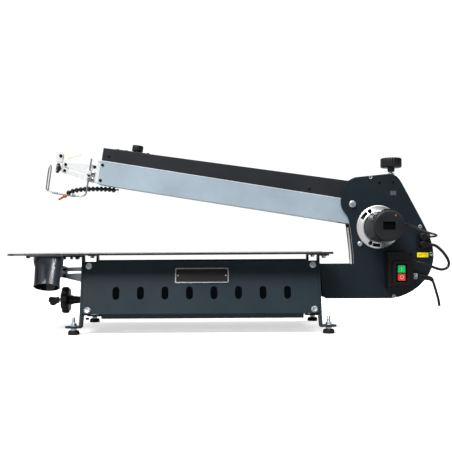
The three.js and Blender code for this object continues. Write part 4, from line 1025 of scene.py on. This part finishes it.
PLUG_Z = {"motor_plug": 36.6, "supply_plug": 16.4}
PLUG_BODY = [  # radius, height
    (0, 0), (8.8, 0), (9.0, 0.6), (9.0, 9), (8.5, 10), (8.5, 14), (9.0, 15), (9.0, 20.6),
    (7.8, 21.7), (0, 21.7),
]
PLUG_SLEEVE = [  # radius, height
    (0, 0), (6.4, 0), (6.4, 8), (6.0, 9), (6.0, 10.6), (5.5, 11.2), (5.5, 12.8), (5.0, 13.4),
    (5.0, 16.6), (4.4, 17.2), (0, 17.2),
]


def plug_ribs(angle, radius, height):
    return 0.25 * math.cos(18 * angle) if 14.5 < height < 21 and radius > 8.6 else 0


part = Shape()
part.prism(rect(623.5, 659, 3.5, 45, 2.5), 0, 3.4, PLASTIC, label_face, 0.7, 3)
for z in (7.5, 41.5):
    for x in (628, 655):
        part.socket_screw(right_face(-37.4, x, z), 2.0, 1.0, dome=0.3)
part.finish("socket_plate", "head", "black_plastic")
for name, z in PLUG_Z.items():
    part = Shape()
    part.lathe(PLUG_BODY, PLASTIC, right_face(-34.3, 637.5, z), ripple=plug_ribs)
    part.lathe(PLUG_SLEEVE, PLASTIC, place((637.7, -48, z), (1, 0, 0)), 32)
    part.finish(f"{name}_fine", "head", "black_plastic", name)

MOTOR_LEAD = [
    (565, -145, 66), (575, -144, 64), (592, -132, 59.6), (612, -112, 54), (634, -88, 48.5),
    (655, -66, 44.2), (668, -54.5, 41.4), (671.5, -49.5, 39.2), (667, -48, 37.4),
    (658, -48, 36.7), (650, -48, PLUG_Z["motor_plug"]),
]
SUPPLY_LEAD = [
    (650, -48, PLUG_Z["supply_plug"]), (657, -48, PLUG_Z["supply_plug"]), (668, -49, 14),
    (681, -50, 4), (692.5, -51, -9.5), (700, -52, -23.5), (701.6, -53, -33.5), (696, -54, -43),
    (682, -56, -47), (660, -57.5, -41), (638, -58, -33.4), (624, -58, -29.3), (611, -58, -28.5),
]
MAINS_LEAD = [
    (641.5, -58, -67.55), (646, -58, -68.25), (652.5, -58, -69.7), (658, -58, -75),
    (663, -58, -88), (667.5, -58, -104), (672.5, -58, -122), (675.5, -58, -140),
]
part = Shape()
part.tube(MOTOR_LEAD, 2.6, CABLE, sides=20)
part.lathe([(0, 0), (4.6, 0), (4.4, 5), (3.4, 9), (0, 9)], PLASTIC,
           place((563.5, -145.2, 66.3), (0.96, 0.05, -0.2)), 24)
part.finish("motor_lead", "head", "cable_sheath", "motor_cable")
part = Shape()
part.tube(SUPPLY_LEAD, 3.6, CABLE, sides=20)
part.finish("supply_lead", "head", "cable_sheath", "supply_cable")
part = Shape()
gland = place((606, -58, -63.8), (1, 0, 0))
part.hex_head(gland @ shift(0, 0, 5.5), 8.2, 7.0, LINK)
part.lathe([(0, 0), (7.4, 0), (7.4, 5.6), (0, 5.6)], LINK, gland, 36)
part.finish("gland_nut", "head")

# strain relief: tapering discs, then four thicker collars, along the lead
sleeve_start = [(619, -58, -64.2), (628, -58, -65.4), (636, -58, -66.7)]
lead = spline(sleeve_start + MAINS_LEAD[:5], 14)
# distance, radius, bore, half thickness, chamfer in radius, half thickness at the rim
DISCS = [(2.0 + 4.6 * k, 7.4 - 0.42 * k, 3.2, 1.25, 0.5, 0.7) for k in range(6)]
DISCS += [(distance, radius, 3.0, 1.9, 0.8, 0.9)
          for distance, radius in ((31.5, 5.4), (34.5, 6.0), (37.5, 5.6), (40.5, 4.8))]
part = Shape()
for distance, radius, bore, half, chamfer, rim in DISCS:
    profile = [(bore, -half), (radius - chamfer, -half), (radius, -rim), (radius, rim),
               (radius - chamfer, half), (bore, half)]
    part.lathe(profile, PLASTIC, place(*along_path(lead, distance)), 32)
part.finish("lead_strain_relief", "head")
part = Shape()
part.tube(MAINS_LEAD, 3.4, CABLE, sides=20)
part.finish("mains_lead", "head", "cable_sheath", "mains_cable")

# ------------------------------------------------------------------ tension knob

TENSION_HEAD = [  # radius, z
    (0, 217.6), (20, 217.6), (24.8, 218.2), (26.6, 219.6), (27.3, 221.5), (27.3, 231),
    (27.3, 239.6), (26.6, 241.6), (25.0, 242.8), (22, 243.3), (14, 243.0), (12, 242.4),
    (0, 242.4),
]
TENSION_HUB = [(0, 207.4), (7.8, 207.4), (8.6, 208.0), (9.2, 209.5), (9.3, 217.9), (0, 217.9)]
TENSION_WASHER = [
    (0, 200.2), (8.6, 200.2), (9.0, 200.6), (9.0, 203.0), (8.6, 203.4), (0, 203.4),
]


def tension_flutes(angle, radius, height):
    if radius < 24 or not 219 < height < 242.4:
        return 0
    return -0.95 * (0.5 - 0.5 * math.cos(22 * angle)) ** 3


part = Shape(shift(568, 0, 0))
part.lathe(TENSION_HEAD, KNOB, sides=176, ripple=tension_flutes)
part.lathe(TENSION_HUB, KNOB)
part.thread(IDENTITY, 4.95, 127.6, 207.6, 1.5, ZINC, 20)
part.lathe(TENSION_WASHER, ZINC, sides=40)
part.finish("tension_knob_fine", "tension_knob", "black_plastic", "tension_knob")

# ------------------------------------------------------------------ upper arm fixings

# the arm's own frame, at its pivot
ARM = shift(ARM_PIVOT_X, 0, ARM_PIVOT_Z) @ spin(math.radians(9.3), "Y")
LINK_X = -750.5  # the front screws of the bell crank and the link


def screw_pair(part, x, z, y, radius, height, dome=0.0):
    """The same screw on both sides of the arm, y from its middle."""
    for face in (right_face(-y, x, z), left_face(y, x, z)):
        part.socket_screw(face, radius, height, dome)


part = Shape(ARM)
for x, z in ((-652.0, -0.5), (-651.5, -40.5)):
    screw_pair(part, x, z, 27.0, 4.0, 2.2, dome=0.9)
for x, z in ((-639.7, 24.8), (-115, 21.9)):
    screw_pair(part, x, z, 24.1, 3.0, 1.5, dome=0.6)
part.finish("arm_screws", "upper_arm")

# pale strips along the top edges of the arm's channel: a painted highlight
part = Shape(ARM)
for ys in ((-27.45, -26.8), (26.8, 27.45)):
    part.box((-666, 40), ys, (9.3, 11.15), ARM_HIGHLIGHT, bevel=0.2)
part.finish("arm_top_highlight", "upper_arm", "arm_blue_paint")

part = Shape(ARM)
for z in (-26, -42):
    part.socket_screw(right_face(-12.4, -674, z), 6.9, 4.2, dome=0.8, mat=LINK, key=3.4)
part.finish("nose_pivot_screws", "upper_arm", "zinc_plate")
part = Shape(ARM)
screw_pair(part, -674.4, -7, 9.0, 4.0, 2.8, dome=1.0)
screw_pair(part, LINK_X, -12.5, 9.0, 3.8, 2.4)
part.finish("bell_crank_screws", "upper_bell_crank")
part = Shape(ARM)
screw_pair(part, LINK_X, -28.5, 9.0, 3.8, 2.4)
part.finish("link_screws", "upper_link_bottom")
part = Shape(ARM)
part.socket_screw(right_face(-8.5, -766.4, 8.0), 4.2, 3.0, dome=0.5)
part.finish("clamp_set_screw", "upper_blade_clamp")

# clamp thumb screw with a knurled rim and a pale ring on its face
THUMB_SCREW = [  # radius, height
    (0, 2), (2.6, 2), (2.6, 9.2), (7.0, 9.2), (7.5, 9.7), (7.5, 12.4), (12.2, 12.5),
    (13, 13.2), (13, 18.8), (12.2, 19.5), (9.6, 19.5), (9.0, 18.7), (5.0, 18.7), (4.4, 19.4),
    (0, 19.4),
]
THUMB_RING = [(5.4, 18.72), (8.7, 18.72), (8.7, 19.0), (5.4, 19.0), (5.4, 18.72)]


def thumb_knurl(angle, radius, height):
    return -0.55 * (0.5 - 0.5 * math.cos(30 * angle)) if radius > 12.5 else 0


part = Shape(ARM @ shift(-755, 2, -24.4) @ spin(math.radians(-68), "Z") @ spin(math.pi / 2, "X"))
part.lathe(THUMB_SCREW, KNOB, sides=120, ripple=thumb_knurl)
part.lathe(THUMB_RING, ALU_PALE, sides=60)
part.finish("thumb_screw_fine", "clamp_thumb_screw", "black_plastic", "clamp_thumb_screw")

# ------------------------------------------------------------------ hold-down

HOLD_DOWN_POST = [
    (-684.5, -16.4, 13), (-684.5, -16.4, -20), (-684.5, -16.4, -60), (-684.5, -16.4, -76),
    (-686.2, -16.1, -82), (-691.2, -15.2, -86.6), (-699, -13.3, -88.6), (-709, -9.8, -89),
    (-715, -7.6, -89.1),
]
FINGER_GUARD = [
    (-758, 6.5, -87.6), (-775, 8.6, -87.4), (-784, 9.5, -87.0), (-788.6, 9.9, -83.6),
    (-789.7, 10.1, -70), (-790.4, 10.2, -34), (-790.5, 8.6, -25), (-790.5, 3.6, -20.8),
    (-790.5, -2, -20), (-790.5, -7.8, -20.8), (-790.5, -12.8, -25), (-790.4, -14.3, -34),
    (-789.7, -14.2, -70), (-788.6, -13.9, -83.6), (-784, -12.9, -87.0), (-775, -12, -87.4),
    (-758, -10.2, -87.6),
]
LOCK_SCREW_BAR = [
    (-680.6, -25.4, -33.4), (-683.4, -25.6, -32.4), (-686.6, -25.5, -31.0),
    (-688.4, -25.2, -30.0),
]
part = Shape(ARM)
part.tube(HOLD_DOWN_POST, 2.3, DULL, sides=24)
part.finish("hold_down_post_fine", "hold_down", "zinc_plate", "hold_down_post")
part = Shape(ARM)
part.tube(FINGER_GUARD, 1.9, DULL, sides=20, per=10)
part.finish("finger_guard_fine", "hold_down", "zinc_plate", "finger_guard")
part = Shape(ARM)
part.lathe([(0, 0), (2.9, 0), (3.1, 0.4), (3.1, 4.4), (2.7, 4.8), (0, 4.8)], BLACK_OXIDE,
           right_face(-20.4, -683.4, -32.4), 28)
part.tube(LOCK_SCREW_BAR, 1.7, BLACK_OXIDE, sides=14)
part.finish("hold_down_lock_screw", "upper_arm")

# ------------------------------------------------------------------ blower

HOSE = [
    (-613, 12, -57.4), (-626, 12.2, -57.6), (-639, 13, -58.6), (-660, 14.5, -61),
    (-682, 16, -64.6), (-696, 17, -67), (-711, 17.6, -71), (-724, 18, -75.8),
    (-734, 18, -81.4), (-740.3, 18, -88),
]
HOSE_SEGMENT = [  # radius, height; a socket narrowing to a ball
    (2.4, 0), (3.4, 0), (3.9, 0.8), (5.9, 2.0), (6.8, 3.9), (6.9, 5.2), (6.6, 6.6), (5.4, 8.2),
    (4.0, 9.4), (3.4, 10.4), (3.2, 11.2), (2.4, 11.4), (2.4, 0),
]
HOSE_COLLAR = [(0, 0), (4.2, 0), (4.6, 0.5), (4.6, 6.6), (4.1, 7.2), (0, 7.2)]
NOZZLE = [  # radius, height
    (2.0, 0), (4.6, 0), (5.2, 0.8), (5.2, 4.6), (4.4, 6.2), (3.0, 8.0), (2.8, 9.0),
    (2.5, 23.2), (2.2, 24.0), (1.5, 24.0), (1.5, 3), (2.0, 0),
]
SEGMENT_PITCH = 11.0

hose = spline(HOSE, 20)
hose_length = sum((end - start).length for start, end in zip(hose, hose[1:]))
part = Shape(ARM)
distance = 1.5
while distance + SEGMENT_PITCH < hose_length + 3:
    part.lathe(HOSE_SEGMENT, KNOB, place(*along_path(hose, distance)), 36)
    distance += SEGMENT_PITCH
part.lathe(HOSE_COLLAR, ALU, place((-613.4, 12, -57.4), (1, 0, 0)), 32)
part.finish("blower_hose_segments", "upper_arm", "black_plastic", "blower_hose")
part = Shape(ARM)
aim = spin(math.radians(45), "Y") @ spin(math.radians(-31), "X") @ Vector((0, 0, -1))
part.lathe(NOZZLE, ORANGE, place((-742.5, 17.4, -90.8), aim), 40)
part.finish("blower_nozzle_fine", "upper_arm", "orange_plastic", "blower_nozzle")

# ------------------------------------------------------------------ speed dial

# the arm's top rises from front to rear
TOP_FRONT_X, TOP_FRONT_Z, TOP_LENGTH, TOP_RISE = -657, 44.3, 644, 14.5
DECK_X = -584
DIAL = [  # radius, height
    (0, 1.9), (9.8, 1.9), (9.8, 4.2), (13.4, 4.2), (14.3, 5.0), (14.3, 17.8), (13.4, 19.4),
    (11.6, 20.0), (0, 19.6),
]


def dial_knurl(angle, radius, height):
    if radius > 13 and 4.6 < height < 18.2:
        return -0.6 * (0.5 - 0.5 * math.cos(24 * angle))
    return 0


deck_z = TOP_FRONT_Z + (DECK_X - TOP_FRONT_X) / TOP_LENGTH * TOP_RISE + 0.3
deck = ARM @ shift(DECK_X, 0, deck_z) @ spin(-math.atan(TOP_RISE / TOP_LENGTH), "Y")
dial = shift(12, 0, 0)
part = Shape(deck)
part.lathe(DIAL, KNOB, dial, 144, dial_knurl)
part.box((6.2, 25.4), (-0.5, 0.5), (19.5, 20.15), WHITE, bevel=0.1, segments=1)
part.finish("speed_dial_fine", "speed_dial", "black_plastic", "speed_dial")
part = Shape(deck)
for i in range(11):
    outer = 18.0 if i % 5 else 19.0
    at = dial @ spin(math.radians(-150 + 30 * i), "Z")
    part.box((16.2, outer), (-0.3, 0.3), (1.55, 1.75), WHITE, at, bevel=0.03, segments=1)
part.finish("dial_marks", "upper_arm")
part = Shape(deck)
part.socket_screw(shift(40.5, 0, 1.5), 4.0, 3.0, dome=1.4)
part.socket_screw(shift(-16.5, 0, 1.5), 5.0, 2.4, dome=1.2)
part.finish("control_plate_screws", "upper_arm")

# ------------------------------------------------------------------ floor (metres from here on)

bpy.ops.mesh.primitive_plane_add(size=1)
floor = bpy.context.object
floor.name = "floor"
floor.scale = (14, 14, 1)
floor.location = (0.1, 3.0, -0.1962)
s = Surface("floor_pale")
seen = s.node("ShaderNodeLightPath").outputs["Is Camera Ray"]
cloud = s.remap(s.noise(scale=3.0, detail=2.0), (0.3, 0.7))
pale = s.mix(cloud, (0.86, 0.86, 0.865), (0.88, 0.88, 0.88))
# brighter to the camera than to the saw, and glowing, which keeps the cast shadow pale
s.put(base=s.mix(seen, (0.34, 0.34, 0.34), pale), rough=0.6, spec=0.15, glow=(1, 1, 1),
      glow_strength=s.remap(seen, (0.0, 1.0), to=(0.03, 0.58)))
floor.data.materials.append(s.material)

# ------------------------------------------------------------------ world

# brightness round the horizon: fraction of a turn (0.5 is -Y), strength
HORIZON = (
    (0.0, 0.80), (0.17, 0.30), (0.25, 0.10), (0.30, 0.66), (0.428, 0.70), (0.460, 0.07),
    (0.74, 0.05), (0.80, 0.12), (0.88, 0.4), (1.0, 0.80),
)
world = bpy.data.worlds.new("studio")
SCENE.world = world
world.use_nodes = True
sky = Nodes(world.node_tree)
direction = sky.node("ShaderNodeTexCoord").outputs["Generated"]
axis = sky.node("ShaderNodeSeparateXYZ", {0: direction}).outputs
azimuth = sky.calc("ARCTAN2", axis["X"], sky.calc("MULTIPLY", axis["Y"], -1.0))
turn = sky.remap(azimuth, (-math.pi, math.pi))
around = sky.node("ShaderNodeValToRGB", {0: turn})
stops = around.color_ramp.elements
while len(stops) < len(HORIZON):
    stops.new(0.5)
for stop, (position, strength) in zip(stops, HORIZON):
    stop.position = position
    stop.color = (strength, strength, strength, 1)
ceiling = sky.remap(axis["Z"], (0.50, 0.97), to=(0.0, 0.95))
light = sky.calc("MAXIMUM", around.outputs[0], ceiling)
seen = sky.node("ShaderNodeLightPath").outputs["Is Camera Ray"]
background = sky.tree.nodes["Background"]
sky.feed(background.inputs[0], (1, 1, 1))
# the camera itself sees a plain white backdrop
sky.feed(background.inputs[1], sky.remap(seen, (0.0, 1.0), to=(light, 1.05)))

# ------------------------------------------------------------------ lights


def area(name, location, target, size, power):
    """A rectangular light aimed at the target; size is (x, y)."""
    data = bpy.data.lights.new(name, "AREA")
    data.energy = power
    data.shape = "RECTANGLE"
    data.size, data.size_y = size
    lamp = bpy.data.objects.new(name, data)
    lamp.location = location
    aim = Vector(target) - Vector(location)
    lamp.rotation_euler = aim.to_track_quat("-Z", "Y").to_euler()
    SCENE.collection.objects.link(lamp)
    return lamp


DUST_PORT_TARGET = (-0.307, -0.1, -0.07)
area("key", location=(-1.25, -2.6, 3.4), target=(0.15, 0, 0.0), size=(2.2, 1.5), power=185)
strip = area("strip", location=(0.91, -0.82, 0.68), target=DUST_PORT_TARGET,
             size=(0.13, 1.3), power=95.0)
cool = area("cool_panel", location=(-1.0, -1.23, 0.83), target=DUST_PORT_TARGET,
            size=(0.9, 1.2), power=6.0)
cool.data.color = (0.8, 0.9, 1.0)
# the strip and the cool panel light the dust port only
port_only = bpy.data.collections.new("strip_lights")
port_only.objects.link(CAD_NODES["dust_port"])
for lamp in (strip, cool):
    lamp.light_linking.receiver_collection = port_only
    lamp.light_linking.blocker_collection = port_only
overhead = bpy.data.lights.new("overhead", "SUN")
overhead.energy = 1.9
overhead.angle = math.radians(60)
lamp = bpy.data.objects.new("overhead", overhead)
lamp.location = (0.1, 0, 3)
SCENE.collection.objects.link(lamp)

# ------------------------------------------------------------------ camera

camera_data = bpy.data.cameras.new("camera")
camera_data.sensor_width = 36
camera_data.lens = 59.0
camera_data.shift_x = 0.0186
camera_data.shift_y = 0.0493
camera_data.clip_end = 50
camera = bpy.data.objects.new("camera", camera_data)
SCENE.collection.objects.link(camera)
level_view = shift(0.1127, -1.940, 0.0128) @ spin(math.pi / 2, "X")
camera.matrix_world = level_view @ spin(math.radians(-0.35), "Z")
SCENE.camera = camera
SCENE.view_settings.view_transform = "Standard"
SCENE.view_settings.exposure = 0.0
